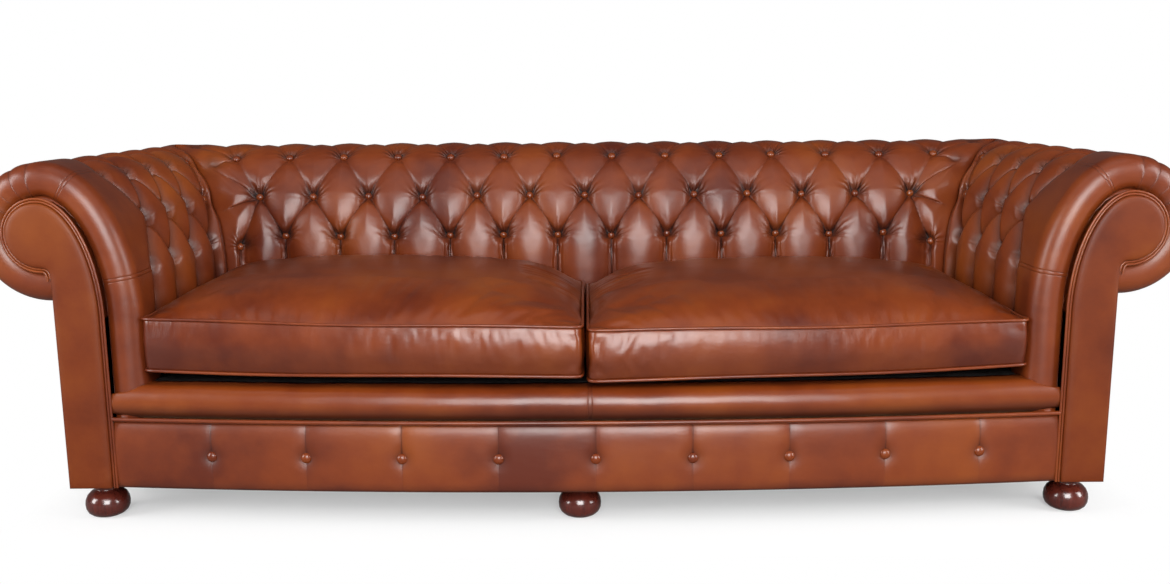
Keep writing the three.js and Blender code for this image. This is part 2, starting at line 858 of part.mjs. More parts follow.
// How full the cushion is across its width or depth, from 0 at a seam to 1 in the middle
function fullness(share) {
  return 1 - (2 * share - 1) ** 6;
}

function cushionPoint(x, y, z, edges, isEnd) {
  const share = (y - edges.front) / (edges.back - edges.front);
  const draw = isEnd ? cushionDrawIn * (1 - (2 * share - 1) ** 2) : 0;
  return new THREE.Vector3(x + draw * Math.sign(cushionCentre - x), y, z);
}

function cushionRing(station, index, stations) {
  const isEnd = index === 0 || index === stations.length - 1;
  const { x } = station;
  const edges = cushionEdges(station);
  const across = fullness((x - cushionInner) / (cushionOuter - cushionInner));
  const middle = (cushionBottomSeam + cushionTopSeam) / 2;
  const depths = crownShares.map((share) => edges.front + share * (edges.back - edges.front));
  const crown = (share, height) => height * across * fullness(share);
  const at = (y, z) => cushionPoint(x, y, z, edges, isEnd);
  const top = crownShares.map((share, i) => at(depths[i], cushionTopSeam + crown(share, cushionCrown)));
  const under = crownShares.map((share, i) => (
    at(depths[i], cushionBottomSeam - crown(share, cushionUnderCrown))
  ));
  return [
    at(edges.front, cushionBottomSeam),
    at(edges.front + borderHollow, middle),
    at(edges.front, cushionTopSeam),
    ...top,
    at(edges.back, cushionTopSeam),
    at(edges.back - borderHollow, middle),
    at(edges.back, cushionBottomSeam),
    ...under.reverse(),
  ];
}

function seatCushion() {
  return loft(cushionStations().map(cushionRing), flattenAcross);
}

// A welt lies round the cushion's edge at a seam. It starts and ends at the middle of the back,
// where its two ends meet.
function cushionWelt(height) {
  const stations = cushionStations();
  const out = cushionWeltRadius + gap;
  const centreY = (cushionFront(cushionCentre) + cushionBack) / 2;
  const middle = Math.floor(stations.length / 2);
  const outline = [
    ...stations.slice(0, middle).reverse().map((station) => ({ station, y: cushionEdges(station).back })),
    ...stations.map((station) => ({ station, y: cushionEdges(station).front })),
    ...stations.slice(middle).reverse().map((station) => ({ station, y: cushionEdges(station).back })),
  ];
  const path = outline.map(({ station, y }) => {
    const fromSide = Math.min(station.x - cushionInner, cushionOuter - station.x);
    const cornerShare = Math.max(0, 1 - fromSide / cushionCorner);
    const sideways = Math.sin((cornerShare * Math.PI) / 2) * Math.sign(station.x - cushionCentre);
    const lengthways = Math.cos((cornerShare * Math.PI) / 2) * Math.sign(y - centreY);
    return new THREE.Vector3(station.x + sideways * out, y + lengthways * out, height);
  });
  const joint = path[0].clone().lerp(path.at(-1), 0.5);
  const first = joint.clone().setX(joint.x - gap);
  const last = joint.clone().setX(joint.x + gap);
  return cord([first, ...path, last], roundSection(cushionWeltRadius));
}

for (const { name, sign } of sides) {
  const mirror = new THREE.Matrix4().makeScale(sign, 1, 1);
  add(`${name}_seat_cushion`, carry(seatCushion(), mirror), leather);
  add(`${name}_cushion_top_welt`, carry(cushionWelt(cushionTopSeam), mirror), welt);
  add(`${name}_cushion_bottom_welt`, carry(cushionWelt(cushionBottomSeam), mirror), welt);
}

// Hardwood frame

const boltHole = boltRadius + boltClearance;

function bolted(geometry, x, y) {
  const hole = upright(roundSection(boltHole), frameUnderside - overrun, boltTop + boltClearance);
  return toGeometry(toSolid(geometry).subtract(toSolid(hole.translate(x, y, 0))));
}

add('rear_rail', bolted(box(
  [-frontRailHalfWidth, rearFootY - railThickness / 2, frameUnderside],
  [frontRailHalfWidth, rearFootY + railThickness / 2, railTop],
), centreFootX, rearFootY), beech);

add('centre_cross_rail', bolted(box(
  [centreFootX - crossRailWidth / 2, crossRailFront, frameUnderside],
  [centreFootX + crossRailWidth / 2, rearFootY - railThickness / 2 - gap, crossRailTop],
), centreFootX, centreFrontFootY), beech);

// A corner post has the scroll's curve on the two faces that the pads lean on
function rearPost(sign) {
  const [inner, outer] = [seatHalfWidth + postSetback, seatHalfWidth + postOuterSetback];
  const plain = toSolid(box(
    [sign > 0 ? inner : -outer, rearPostFront, frameUnderside],
    [sign > 0 ? outer : -inner, rearPostBack, topRailUnderside - gap],
  ));
  const scroll = scrollShape(-postInset);
  const alongArm = toSolid(sweep(scroll, 0, rearPostBack + overrun, armFrame(sign)));
  const alongBack = toSolid(sweep(scroll, -outer - overrun, outer + overrun, backFrame));
  return toGeometry(plain.intersect(alongArm).intersect(alongBack));
}

// The top rails are round where the roll turns over them and cut flat underneath
function topRailShape() {
  const drop = scrollCentre - topRailUnderside;
  const cut = Math.asin(drop / topRailRadius);
  return new THREE.Shape().absarc(crestSetback, scrollCentre, topRailRadius, -cut, Math.PI + cut);
}

function topRail(start, end, frame, cuts) {
  const room = toSolid(sweep(scrollShape(gap - postInset - topRailClearance), start, end, frame, 12));
  let rail = toSolid(sweep(topRailShape(), start, end, frame, 6)).intersect(room);
  for (const [sign, keepBack] of cuts) rail = mitre(rail, sign, keepBack);
  return toGeometry(rail);
}

for (const { name, sign } of sides) {
  const x = sign * footX;
  add(`${name}_side_rail`, bolted(box(
    [x - railThickness / 2, postBack + gap, frameUnderside],
    [x + railThickness / 2, rearPostFront - gap, railTop],
  ), x, frontFootY), beech);
  add(`${name}_rear_post`, bolted(rearPost(sign), x, rearFootY), beech);

  const inner = sign * (seatHalfWidth + postSetback);
  const outer = inner + sign * tackRailThickness;
  const bottom = (padBottom + curveStart - tackRailHeight) / 2;
  add(`${name}_arm_tack_rail`, box(
    [Math.min(inner, outer), postBack + gap, bottom],
    [Math.max(inner, outer), rearPostFront - gap, bottom + tackRailHeight],
  ), beech);

  const length = seatDepth + cornerReach;
  add(`${name}_arm_top_rail`, topRail(postBack + gap, length, armFrame(sign), [[sign, -1]]), beech);
}

const backRailHalfLength = seatHalfWidth + cornerReach;
add('back_top_rail', topRail(
  -backRailHalfLength, backRailHalfLength, backFrame, [[-1, 1], [1, 1]],
), beech);

const tackRailFront = rearPostFront + webbingThickness + gap;
const tackRailBack = tackRailFront + tackRailThickness;
const backTackRailBottom = padBottom + backTackRailRise;
add('back_tack_rail', box(
  [-frontRailHalfWidth, tackRailFront, backTackRailBottom],
  [frontRailHalfWidth, tackRailBack, backTackRailBottom + tackRailHeight],
), beech);

add('back_upright', box(
  [-uprightWidth / 2, tackRailBack + gap, railTop + gap],
  [uprightWidth / 2, rearFootY + railThickness / 2, topRailUnderside - gap],
), beech);

// Feet, bolts and dust cover

const feet = {
  front_left: [-footX, frontFootY],
  front_centre: [centreFootX, centreFrontFootY],
  front_right: [footX, frontFootY],
  rear_left: [-footX, rearFootY],
  rear_centre: [centreFootX, rearFootY],
  rear_right: [footX, rearFootY],
};

// Radius shares of the belly and height shares from the sole to the neck
const bellyShares = [[0.86, 0.15], [1, 0.42], [0.99, 0.62], [0.86, 0.85]];

function bunFoot() {
  const plateBottom = footTop - footPlateThickness;
  const neckBottom = plateBottom - footNeckHeight;
  const profile = [
    new THREE.Vector2(0, 0),
    new THREE.Vector2(footSoleRadius, 0),
    ...bellyShares.map(([radius, height]) => new THREE.Vector2(radius * footRadius, height * neckBottom)),
    new THREE.Vector2(footNeckRadius, neckBottom),
    new THREE.Vector2(footNeckRadius, plateBottom),
    new THREE.Vector2(footPlateRadius, plateBottom),
    new THREE.Vector2(footPlateRadius, footTop),
    new THREE.Vector2(boltHole, footTop),
    new THREE.Vector2(boltHole, boltBottom - boltClearance),
    new THREE.Vector2(0, boltBottom - boltClearance),
  ];
  return new THREE.LatheGeometry(profile, 16).rotateX(Math.PI / 2);
}

function footBolt() {
  return upright(roundSection(boltRadius), boltBottom, boltTop);
}

for (const [name, [x, y]] of Object.entries(feet)) {
  add(`${name}_foot`, bunFoot().translate(x, y, 0), polishedWood);
  add(`${name}_foot_bolt`, footBolt().translate(x, y, 0), zincSteel);
}

function dustCover() {
  const halfWidth = seatHalfWidth + postOuterSetback - dustCoverInset;
  const stations = spread(-halfWidth, halfWidth, 12);
  const back = rearPostBack - dustCoverInset;
  const shape = new THREE.Shape([
    ...stations.map((x) => new THREE.Vector2(x, bow(x) + frontRailFace + dustCoverInset)),
    new THREE.Vector2(halfWidth, back),
    new THREE.Vector2(-halfWidth, back),
  ]);
  for (const [x, y] of Object.values(feet)) {
    shape.holes.push(new THREE.Path().absarc(x, y, boltHole, 0, 2 * Math.PI, true));
  }
  return upright(shape, dustCoverBottom, dustCoverTop);
}

add('dust_cover', dustCover(), blackCloth);

// The origin goes to the floor, below the middle of the sofa's box
const bounds = new THREE.Box3().setFromObject(sofa);
const middle = bounds.getCenter(new THREE.Vector3());
sofa.position.set(-middle.x, -middle.y, -bounds.min.z);

export default sofa;
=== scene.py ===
# %% [markdown]
# # A deep-buttoned leather chesterfield
# The sofa is two and a half metres long, with arms and back of one height that roll outwards,
# fourteen columns of deep buttoning, a bowed front with a buttoned border, two loose cushions and
# turned bun feet. The hard frame comes from the CAD model. This script dresses it: first the
# camera, floor and lamps, then the finishes, then each upholstered piece.

# %% The frame
import math

import bmesh
import bpy
import numpy as np
from mathutils import Matrix, Vector


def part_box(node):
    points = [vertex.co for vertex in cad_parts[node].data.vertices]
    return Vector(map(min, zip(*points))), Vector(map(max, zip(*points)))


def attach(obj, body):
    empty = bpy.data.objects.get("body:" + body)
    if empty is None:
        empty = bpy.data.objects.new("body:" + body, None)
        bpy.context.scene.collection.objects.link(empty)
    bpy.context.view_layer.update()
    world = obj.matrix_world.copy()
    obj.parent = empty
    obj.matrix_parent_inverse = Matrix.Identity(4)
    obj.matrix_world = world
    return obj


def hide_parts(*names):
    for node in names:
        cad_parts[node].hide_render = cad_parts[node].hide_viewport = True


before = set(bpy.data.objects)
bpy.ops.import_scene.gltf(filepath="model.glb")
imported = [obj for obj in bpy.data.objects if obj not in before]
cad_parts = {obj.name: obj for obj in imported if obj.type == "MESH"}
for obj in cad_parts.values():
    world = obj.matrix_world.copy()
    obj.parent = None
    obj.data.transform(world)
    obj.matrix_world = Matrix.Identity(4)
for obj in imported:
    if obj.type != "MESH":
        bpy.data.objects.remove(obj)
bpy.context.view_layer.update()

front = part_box("left_facing")[0][1]
mm = 0.001
sides = (("left", -1), ("right", 1))
print("frame loaded, front plane of the facings at y =", round(front, 4))

# %% [markdown]
# ## Camera
# The photograph was taken from a little above the back's crest, about two metres and a quarter in
# front of the facings, with a slightly wide lens that looks down ten degrees. A camera set by
# measured angles keeps the two arms as wide and as turned as in the picture.

# %% Camera
camera_place = (4.2 * mm, front - 2246.5 * mm, 891.8 * mm)
turned, looks_down, rolled = 0.1, 10.12, -0.42  # degrees


def link(name, data):
    """Puts a new object into the scene."""
    made = bpy.data.objects.new(name, data)
    bpy.context.scene.collection.objects.link(made)
    return made


camera = link("camera", bpy.data.cameras.new("camera"))
camera.data.sensor_width = 36
camera.data.lens = 34.5
camera.matrix_world = (
    Matrix.Translation(camera_place)
    @ Matrix.Rotation(math.radians(turned), 4, "Z")
    @ Matrix.Rotation(math.radians(90 - looks_down), 4, "X")
    @ Matrix.Rotation(math.radians(rolled), 4, "Z")
)
bpy.context.scene.camera = camera
bpy.context.scene.view_settings.view_transform = "Standard"
print("camera", round(front - camera_place[1], 3), "m in front of the facings")

# %% [markdown]
# ## Floor, lamps and sky
# The room is a white studio. A big softbox in front gives the leather its bright shoulders, and a
# wider, weaker one above it softens the edge of that light. A strip at each side draws the lines
# of light along the arms' noses and pleats, a faint one overhead opens the shadows, and a low one
# behind lights the outside of the back. The floor and the sky are white where the camera looks at
# them, show only faintly in reflections, and light the sofa no more for being white. The floor
# still takes the sofa's shadow.

# %% Lamps
seat_middle = (0, 0, 0.5)


def facing_out(direction):
    """The turn that points an object's own Z axis in a direction."""
    return Vector(direction).to_track_quat("Z", "Y").to_matrix().to_4x4()


def lamp(name, place, aim, size, watts):
    """A rectangular area lamp, with its width and height in metres."""
    light = bpy.data.lights.new(name, "AREA")
    light.shape = "RECTANGLE"
    light.size, light.size_y = size
    light.energy = watts
    link(name, light).matrix_world = (
        Matrix.Translation(place) @ facing_out(Vector(place) - Vector(aim)))
    print(name, watts, "W")


lamp("front_softbox", (0.2, -4.3, 1.8), seat_middle, (2.3, 2.1), 215)
lamp("wide_softbox", (0, -4.1, 3.25), seat_middle, (3.6, 1.0), 46)
lamp("overhead_softbox", (0, -0.9, 3.4), seat_middle, (4.2, 1.4), 16)
for name, side in sides:
    lamp(f"{name}_strip", (side * 3.3, -1.7, 1.5), (-side * 0.9, 0.1, 0.5), (1.0, 2.0), 78)
lamp("rear_softbox", (0, 4.0, 0.45), (0, 0.5, 0.42), (3.2, 0.25), 70)

# %% [markdown]
# ## Writing a finish
# A finish is a tree of shader nodes. Written node by node it is hard to read, so one small class
# stands for the output of a node and lets plain sums make the Math nodes, and another makes any
# other node from its kind, its settings and what goes into its sockets.

# %% Shader helpers
class Value:
    """An output of a finish's nodes that takes part in sums."""

    def __init__(self, finish, socket):
        self.finish = finish
        self.socket = socket

    def math(self, operation, *values):
        return self.finish.node("ShaderNodeMath", {"operation": operation}, dict(enumerate(values)))

    def __add__(self, other):
        return self.math("ADD", self, other)

    def __sub__(self, other):
        return self.math("SUBTRACT", self, other)

    def __rsub__(self, other):
        return self.math("SUBTRACT", other, self)

    def __mul__(self, other):
        return self.math("MULTIPLY", self, other)

    def __truediv__(self, other):
        return self.math("DIVIDE", self, other)

    def __rtruediv__(self, other):
        return self.math("DIVIDE", other, self)

    def __pow__(self, other):
        return self.math("POWER", self, other)

    def __abs__(self):
        return self.math("ABSOLUTE", self)

    __radd__ = __add__
    __rmul__ = __mul__

    def clamped(self):
        made = self.math("ADD", self, 0.0)
        made.socket.node.use_clamp = True
        return made


class Finish:
    """A material whose nodes are made from sums and from one method."""

    def __init__(self, name, **constants):
        self.material = bpy.data.materials.new(name)
        self.material.use_nodes = True
        self.tree = self.material.node_tree
        self.shader = self.tree.nodes["Principled BSDF"]
        for socket, value in constants.items():
            self.shader.inputs[socket.replace("_", " ")].default_value = value

    def node(self, kind, settings=None, sockets=None, output=0):
        made = self.tree.nodes.new(kind)
        for name, value in (settings or {}).items():
            if name == "stops":
                set_stops(made.color_ramp, value)
            else:
                setattr(made, name, value)
        for name, value in (sockets or {}).items():
            self.feed(made.inputs[name], value)
        return Value(self, made.outputs[output])

    def feed(self, socket, value):
        if isinstance(value, Value):
            self.tree.links.new(value.socket, socket)
        else:
            socket.default_value = value

    def paint(self, **sockets):
        for name, value in sockets.items():
            self.feed(self.shader.inputs[name.replace("_", " ")], value)
        return self.material


def set_stops(ramp, stops):
    for _ in range(len(stops) - 2):
        ramp.elements.new(0.5)
    for element, (place, colour) in zip(ramp.elements, stops):
        element.position = place
        element.color = (*colour, 1) if len(colour) == 3 else colour


# %% [markdown]
# Some small trees come back in several finishes: a pattern's place, a noise, a ramp of colours, a
# bump. Each gets a function. Where a pattern follows the leather itself, a finish reads a number
# that the mesh keeps for each vertex.

# %% Shader parts that several finishes share
def places(finish, scale=(1, 1, 1), shift=(0, 0, 0)):
    sockets = {"Vector": finish.node("ShaderNodeTexCoord", output="Object"), "Scale": scale,
               "Location": shift}
    return finish.node("ShaderNodeMapping", {}, sockets)


def axis(finish, where, index):
    """One of the three parts of a vector."""
    return finish.node("ShaderNodeSeparateXYZ", {}, {0: where}, index)


def noise(finish, where, scale, detail=2.0, roughness=0.5, distortion=0.0):
    sockets = {"Vector": where, "Scale": scale, "Detail": detail, "Roughness": roughness,
               "Distortion": distortion}
    return finish.node("ShaderNodeTexNoise", {}, sockets)


def attribute(finish, name):
    return finish.node("ShaderNodeAttribute", {"attribute_name": name}, {}, "Fac")


def fade(amount, reach):
    """1 where an amount is nothing, falling off over a reach."""
    return amount.math("EXPONENT", amount * (-1.0 / reach))


def ramp(finish, amount, stops):
    return finish.node("ShaderNodeValToRGB", {"stops": stops}, {"Fac": amount})


def tint(finish, amount, first, second, blend="MIX"):
    """Mixes two colours. The sockets are numbered, because each kind of Mix has its own A and B."""
    first, second = (colour if isinstance(colour, Value) else (*colour, 1)
                     for colour in (first, second))
    settings = {"data_type": "RGBA", "blend_type": blend}
    return finish.node("ShaderNodeMix", settings, {0: amount, 6: first, 7: second}, 2)


def relief(finish, height, depth, below=None):
    """A bump of a depth in metres, laid over another one if there is one below."""
    sockets = {"Height": height, "Distance": depth, "Strength": 1.0}
    if below is not None:
        sockets["Normal"] = below
    return finish.node("ShaderNodeBump", {}, sockets)


# %% [markdown]
# The floor and the sky are finishes too. The floor glows white far from the sofa and in the
# camera's eyes only. Near the sofa most of the glow gives way to lit paint, which shows the shadow.

# %% White floor and sky
in_reflections = 0.04
seen_floor, unseen_floor = (0.84, 0.84, 0.84), (0.15, 0.15, 0.15)
shadow_plan, shadow_edge = (1.0, 0.44), 0.22  # half the shadow's ground and its soft edge, metres
glow_near_sofa = 0.35
ambient = 0.09


def seen(finish):
    """1 where the camera or a refraction looks, little in a reflection, 0 as light on the sofa."""
    kinds = finish.node("ShaderNodeLightPath").socket.node.outputs
    camera_ray, glossy, through = (
        Value(finish, kinds[f"Is {kind} Ray"]) for kind in ("Camera", "Glossy", "Transmission"))
    return (camera_ray + glossy * in_reflections + through).clamped()


def white_floor():
    finish = Finish("white_floor", Roughness=0.9)
    finish.paint(Base_Color=tint(finish, seen(finish), unseen_floor, seen_floor))
    where = finish.node("ShaderNodeTexCoord", output="Object")
    beyond = [abs(axis(finish, where, index)) - half for index, half in enumerate(shadow_plan)]
    aside, before = (distance.math("MAXIMUM", distance, 0.0) for distance in beyond)
    far = ((aside * aside + before * before) ** 0.5 / shadow_edge).clamped()
    glow = finish.node("ShaderNodeEmission", {}, {"Color": (1, 1, 1, 1), "Strength": 1.0})
    lit = Value(finish, finish.shader.outputs[0])
    share = seen(finish) * (far * (1 - glow_near_sofa) + glow_near_sofa)
    mixed = finish.node("ShaderNodeMixShader", {}, {0: share, 1: lit, 2: glow})
    finish.feed(finish.tree.nodes["Material Output"].inputs[0], mixed)
    return finish.material


def white_sky():
    """A world has nodes but no material, so its finish is made without one."""
    sky = bpy.data.worlds.new("white_sky")
    sky.use_nodes = True
    finish = Finish.__new__(Finish)
    finish.tree = sky.node_tree
    plain = finish.node("ShaderNodeBackground", {}, {"Color": (1, 1, 1, 1), "Strength": ambient})
    up = axis(finish, finish.node("ShaderNodeTexCoord", output="Generated"), 2)
    shade = ramp(finish, up, [(0.45, (1, 1, 1)), (0.8, (0.22, 0.22, 0.22))])
    white = finish.node("ShaderNodeBackground", {}, {"Color": shade, "Strength": 1.0})
    mixed = finish.node("ShaderNodeMixShader", {}, {0: seen(finish), 1: plain, 2: white})
    finish.feed(sky.node_tree.nodes["World Output"].inputs[0], mixed)
    bpy.context.scene.world = sky


def to_piece(made, name):
    """Makes an object of a finished bmesh."""
    mesh = bpy.data.meshes.new(name)
    made.to_mesh(mesh)
    made.free()
    mesh.shade_smooth()
    return link(name, mesh)


made = bmesh.new()
bmesh.ops.create_grid(made, x_segments=2, y_segments=2, size=30)
floor = to_piece(made, "floor")
floor.data.materials.append(white_floor())
white_sky()
print("floor and sky are white")

# %% [markdown]
# ## Leather
# The cover is waxed, hand-antiqued leather: red brown, worn to orange brown where it is high. Its
# folds are darkened almost to black, partly by the wax that antiqued leather keeps in them and
# partly as painted shade, and its pits are darkened as painted shade. It is glossy enough to carry
# soft streaks of light. Object coordinates give the broad clouds of colour and the fine pores, so
# they need no unwrapping. The numbers that each mesh keeps say where it is folded, drawn into a
# pit, sewn or gathered, and so where the painted shade falls.

# %% Leather finish
deep_brown = (0.014, 0.003, 0.002)
red_brown = (0.084, 0.012, 0.003)
chestnut = (0.150, 0.026, 0.004)
orange_brown = (0.208, 0.045, 0.005)


button_edge = 9 * mm
gather_reach = 19 * mm
upright_pitch, upright_half = 9.5 * mm, 11 * mm
fold_line = 1.3 * mm
stitch_offset, stitch_width = 4 * mm, 0.9 * mm
seam_reach = 22 * mm


def gathers(finish):
    """Creases that run into a button, and upright ones below the lowest row."""
    near = finish.node("ShaderNodeUVMap", {"uv_map": "button"})
    across, up = axis(finish, near, 0), axis(finish, near, 1)
    far = (across * across + up * up) ** 0.5
    turn = across.math("ARCTAN2", across, up)
    sway = noise(finish, places(finish), 24.0, 1.0)
    waves = across.math("SINE", turn * 15.0 + sway * 10.0)
    above = (up / (far + 1 * mm) * 0.8 + 0.45).clamped()
    rise = ((far - button_edge) / button_edge).clamped()
    patch = (noise(finish, places(finish), 13.0, 1.0) * 3.0 - 0.8).clamped()
    star = waves * above * rise * patch * fade(far, gather_reach) * 5.0
    spread = across / upright_half
    folds = across.math("COSINE", across * (2 * math.pi / upright_pitch) + sway * 5.0)
    upright = folds * fade(spread * spread, 1.0) * attribute(finish, "hem")
    return star + upright * 1.6


def drawn_seam(finish, where, shift):
    """Patches of short puckers that run up to a cushion's seams."""
    seam = attribute(finish, "seam")
    along = noise(finish, places(finish, (1.0, 0.35, 0.35), shift), 70.0, 2.0, 0.55)
    patchy = (noise(finish, where, 6.5, 1.0) * 4.2 - 2.0).clamped()
    return along * fade(seam, seam_reach) * patchy


# %% [markdown]
# One function then makes every leather of the sofa. A hide is never even, so each piece shifts the
# clouds to places of its own. Facings are duller and darker, buttons and cushions are rubbed
# glossier, and only buttoned pads carry gathers.

# %% Leathers
def leather(name, shift=(0, 0, 0), shade=1.0, buttoned=0.0, gathered=False, roughness=0.32,
            gloss=0.5):
    """Antiqued leather; buttoned is the height of its gathers in millimetres, 0 for none."""
    finish = Finish(name, Specular_IOR_Level=gloss)
    where = places(finish, shift=shift)
    clouds = noise(finish, where, 3.6, 3.0, 0.55)
    patches = noise(finish, where, 15.0, 4.0, 0.65)
    fold, pit = attribute(finish, "fold"), attribute(finish, "pit")
    line = fade(abs(attribute(finish, "pleat")), fold_line) * (fold * 1.6).clamped()
    # Clouds and patches are the hide's own wear and tone; the fold term makes folds less worn,
    # partly antique wax and partly painted shade.
    wear_and_fold_shade = (clouds * 0.74 + patches * 0.26 - fold * 0.10 + attribute(finish, "hide")).clamped()
    colour = ramp(finish, wear_and_fold_shade, [(0.35, red_brown), (0.51, chestnut), (0.70, orange_brown)])
    # Folds and pleat lines darken towards deep brown, partly antique wax and partly painted shade;
    # the pit number darkens it as painted shade only.
    colour = tint(finish, (line * 0.8 + fold * 0.3 + pit * 0.9).clamped(), colour, deep_brown)
    if shade != 1.0:
        colour = tint(finish, 1.0, colour, (shade, shade, shade), "MULTIPLY")
    pores = finish.node("ShaderNodeTexVoronoi", {}, {"Vector": where, "Scale": 900.0})
    skin = noise(finish, where, 260.0, 3.0, 0.6)
    creases = noise(finish, places(finish, (1.0, 1.0, 2.0), shift), 22.0, 2.0, 0.5)
    normal = relief(finish, pores * 0.4 + skin * 0.6, 0.04 * mm)
    normal = relief(finish, creases, 0.5 * mm, normal)
    if buttoned:
        normal = relief(finish, gathers(finish), buttoned * mm, normal)
    if gathered:
        normal = relief(finish, drawn_seam(finish, where, shift), 2.0 * mm, normal)
    from_stitch = abs(abs(attribute(finish, "sewn")) - stitch_offset)
    groove = fade(from_stitch, stitch_width) * attribute(finish, "stitched")
    normal = relief(finish, line * -1.6 - groove, 1.0 * mm, normal)
    rough = roughness + patches * 0.10 + fold * 0.15 + pit * 0.2
    colour = tint(finish, (groove * 0.3).clamped(), colour, deep_brown)
    return finish.paint(Base_Color=colour, Roughness=rough.clamped(), Normal=normal)


body_leather = leather("antiqued_leather")
buttoned_leather = leather("buttoned_leather", buttoned=1.0)
arm_leather = leather("arm_leather", buttoned=0.35)
facing_leather = leather("facing_leather", (0.7, 0.2, 0.4), 0.84, roughness=0.42, gloss=0.25)
welt_leather = leather("welt_leather", (0.1, 0.6, 0.2), roughness=0.3)
button_leather = leather("button_leather", (0.5, 0.5, 0.1), roughness=0.22)
print("leathers:", body_leather.name, buttoned_leather.name, facing_leather.name, welt_leather.name)

# %% [markdown]
# ## Wood, metal and cloth
# The feet are stained dark red brown and polished, so they get a gloss coat over a faint grain. The
# frame under the upholstery is plain beech. Webbing, platform cloth and the dust cover are woven:
# two crossed waves give the weave its relief and its colour.

# %% Hard finishes
def wood(name, pale, dark, roughness, coat, along):
    """Grain that is fine across and long along one of the three axes."""
    finish = Finish(name, Coat_Weight=coat, Coat_Roughness=0.06)
    stretch = [14.0, 14.0, 14.0]
    stretch[along] = 1.0
    where = places(finish, stretch)
    rings = noise(finish, where, 3.0, 5.0, 0.6, 1.2)
    fibre = noise(finish, where, 24.0, 3.0, 0.7)
    colour = ramp(finish, rings * 0.7 + fibre * 0.3, [(0.32, dark), (0.66, pale)])
    normal = relief(finish, fibre, 0.08 * mm)
    rough = roughness + fibre * 0.08
    return finish.paint(Base_Color=colour, Roughness=rough, Normal=normal)


pale_beech, dark_beech = (0.58, 0.38, 0.20), (0.42, 0.25, 0.12)
beech_long, beech_deep, beech_upright = (
    wood(name, pale_beech, dark_beech, 0.55, 0.0, along)
    for along, name in enumerate(("beech_long", "beech_deep", "beech_upright")))
polish = wood("polished_wood", (0.105, 0.016, 0.009), (0.038, 0.006, 0.004), 0.2, 0.6, 2)


def zinc():
    finish = Finish("zinc_steel", Metallic=1.0)
    where = places(finish, (1.0, 1.0, 9.0))
    brushed = noise(finish, where, 400.0, 2.0)
    colour = ramp(finish, brushed, [(0.3, (0.42, 0.43, 0.45)), (0.7, (0.62, 0.63, 0.64))])
    return finish.paint(Base_Color=colour, Roughness=0.28 + brushed * 0.15)


def weave(name, pale, dark, pitch, sheen):
    finish = Finish(name, Sheen_Weight=sheen, Specular_IOR_Level=sheen)
    where = places(finish)
    across, along = (axis(finish, where, index) * (2 * math.pi / pitch) for index in (0, 1))
    over = across.math("SINE", across) * along.math("SINE", along)
    slub = noise(finish, places(finish), 180.0, 3.0)
    height = (over * 0.5 + 0.5) * 0.8 + slub * 0.4
    colour = ramp(finish, height, [(0.2, dark), (0.9, pale)])
    normal = relief(finish, height, 0.5 * mm)
    return finish.paint(Base_Color=colour, Roughness=0.85 + slub * 0.1, Normal=normal)


zinc_steel = zinc()
jute = weave("jute", (0.42, 0.31, 0.18), (0.24, 0.16, 0.08), 4 * mm, 0.2)
black_cloth = weave("black_cloth", (0.016, 0.014, 0.014), (0.006, 0.005, 0.005), 1.6 * mm, 0.0)

# %% [markdown]
# The frame, its bolts, the webbing and the dust cover come from the CAD model as they are. They
# only get a finish, wood with its grain along each rail.

# %% CAD pieces that stay, with their finishes
kept_nodes = {
    beech_long: ("front_rail", "rear_rail", "back_top_rail", "back_tack_rail"),
    beech_deep: ("centre_cross_rail", "left_side_rail", "right_side_rail", "left_arm_tack_rail",
                 "right_arm_tack_rail", "left_arm_top_rail", "right_arm_top_rail"),
    beech_upright: ("left_front_post", "right_front_post", "left_rear_post", "right_rear_post",
                    "back_upright"),
    jute: ("seat_webbing", "back_webbing"),
    black_cloth: ("dust_cover",),
    zinc_steel: tuple(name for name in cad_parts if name.endswith("_bolt")),
}
for finish, names in kept_nodes.items():
    for name in names:
        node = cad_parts[name]
        node.data.materials.clear()
        node.data.materials.append(finish)
print("CAD pieces dressed:", sum(map(len, kept_nodes.values())))

# %% [markdown]
# ## Making and settling a piece
# Most of the upholstery is a net of quads pulled over a form, as a hide is pulled over padding. A
# grid operator makes the net, its vertices are moved to the form, and doubled edges are merged. A
# finished piece then rides on its body, and the CAD solids it stands for are hidden.

# %% Helpers for pieces
doubled = 0.02 * mm


def net(columns, rows):
    """A grid, with the column and the row of each of its vertices."""
    made = bmesh.new()
    bmesh.ops.create_grid(made, x_segments=columns - 1, y_segments=rows - 1, size=0.5)
    where = np.array([vert.co for vert in made.verts])
    column = np.rint((where[:, 0] + 0.5) * (columns - 1)).astype(int)
    row = np.rint((where[:, 1] + 0.5) * (rows - 1)).astype(int)
    return made, column, row


def move(made, x, y, z):
    for vert, place in zip(made.verts, np.column_stack((x, y, z))):
        vert.co = place


def close_up(made):
    """Merges doubled vertices, caps the open ends and turns the faces outwards."""
    bmesh.ops.remove_doubles(made, verts=made.verts, dist=doubled)
    bmesh.ops.dissolve_degenerate(made, edges=made.edges, dist=doubled)
    rim = [edge for edge in made.edges if edge.is_boundary]
    if rim:
        caps = bmesh.ops.holes_fill(made, edges=rim, sides=0)["faces"]
        bmesh.ops.triangulate(made, faces=caps)
    bmesh.ops.recalc_face_normals(made, faces=made.faces)


def drape(made, name, x, y, z, **marks):
    """Moves a net to its form and makes it a piece.

    The marks are numbers for each vertex, such as how near it lies to a fold, for the finishes.
    """
    for key, numbers in marks.items():
        layer = made.verts.layers.float.new(key)
        for vert, number in zip(made.verts, numbers):
            vert[layer] = number
    move(made, x, y, z)
    close_up(made)
    return to_piece(made, name)


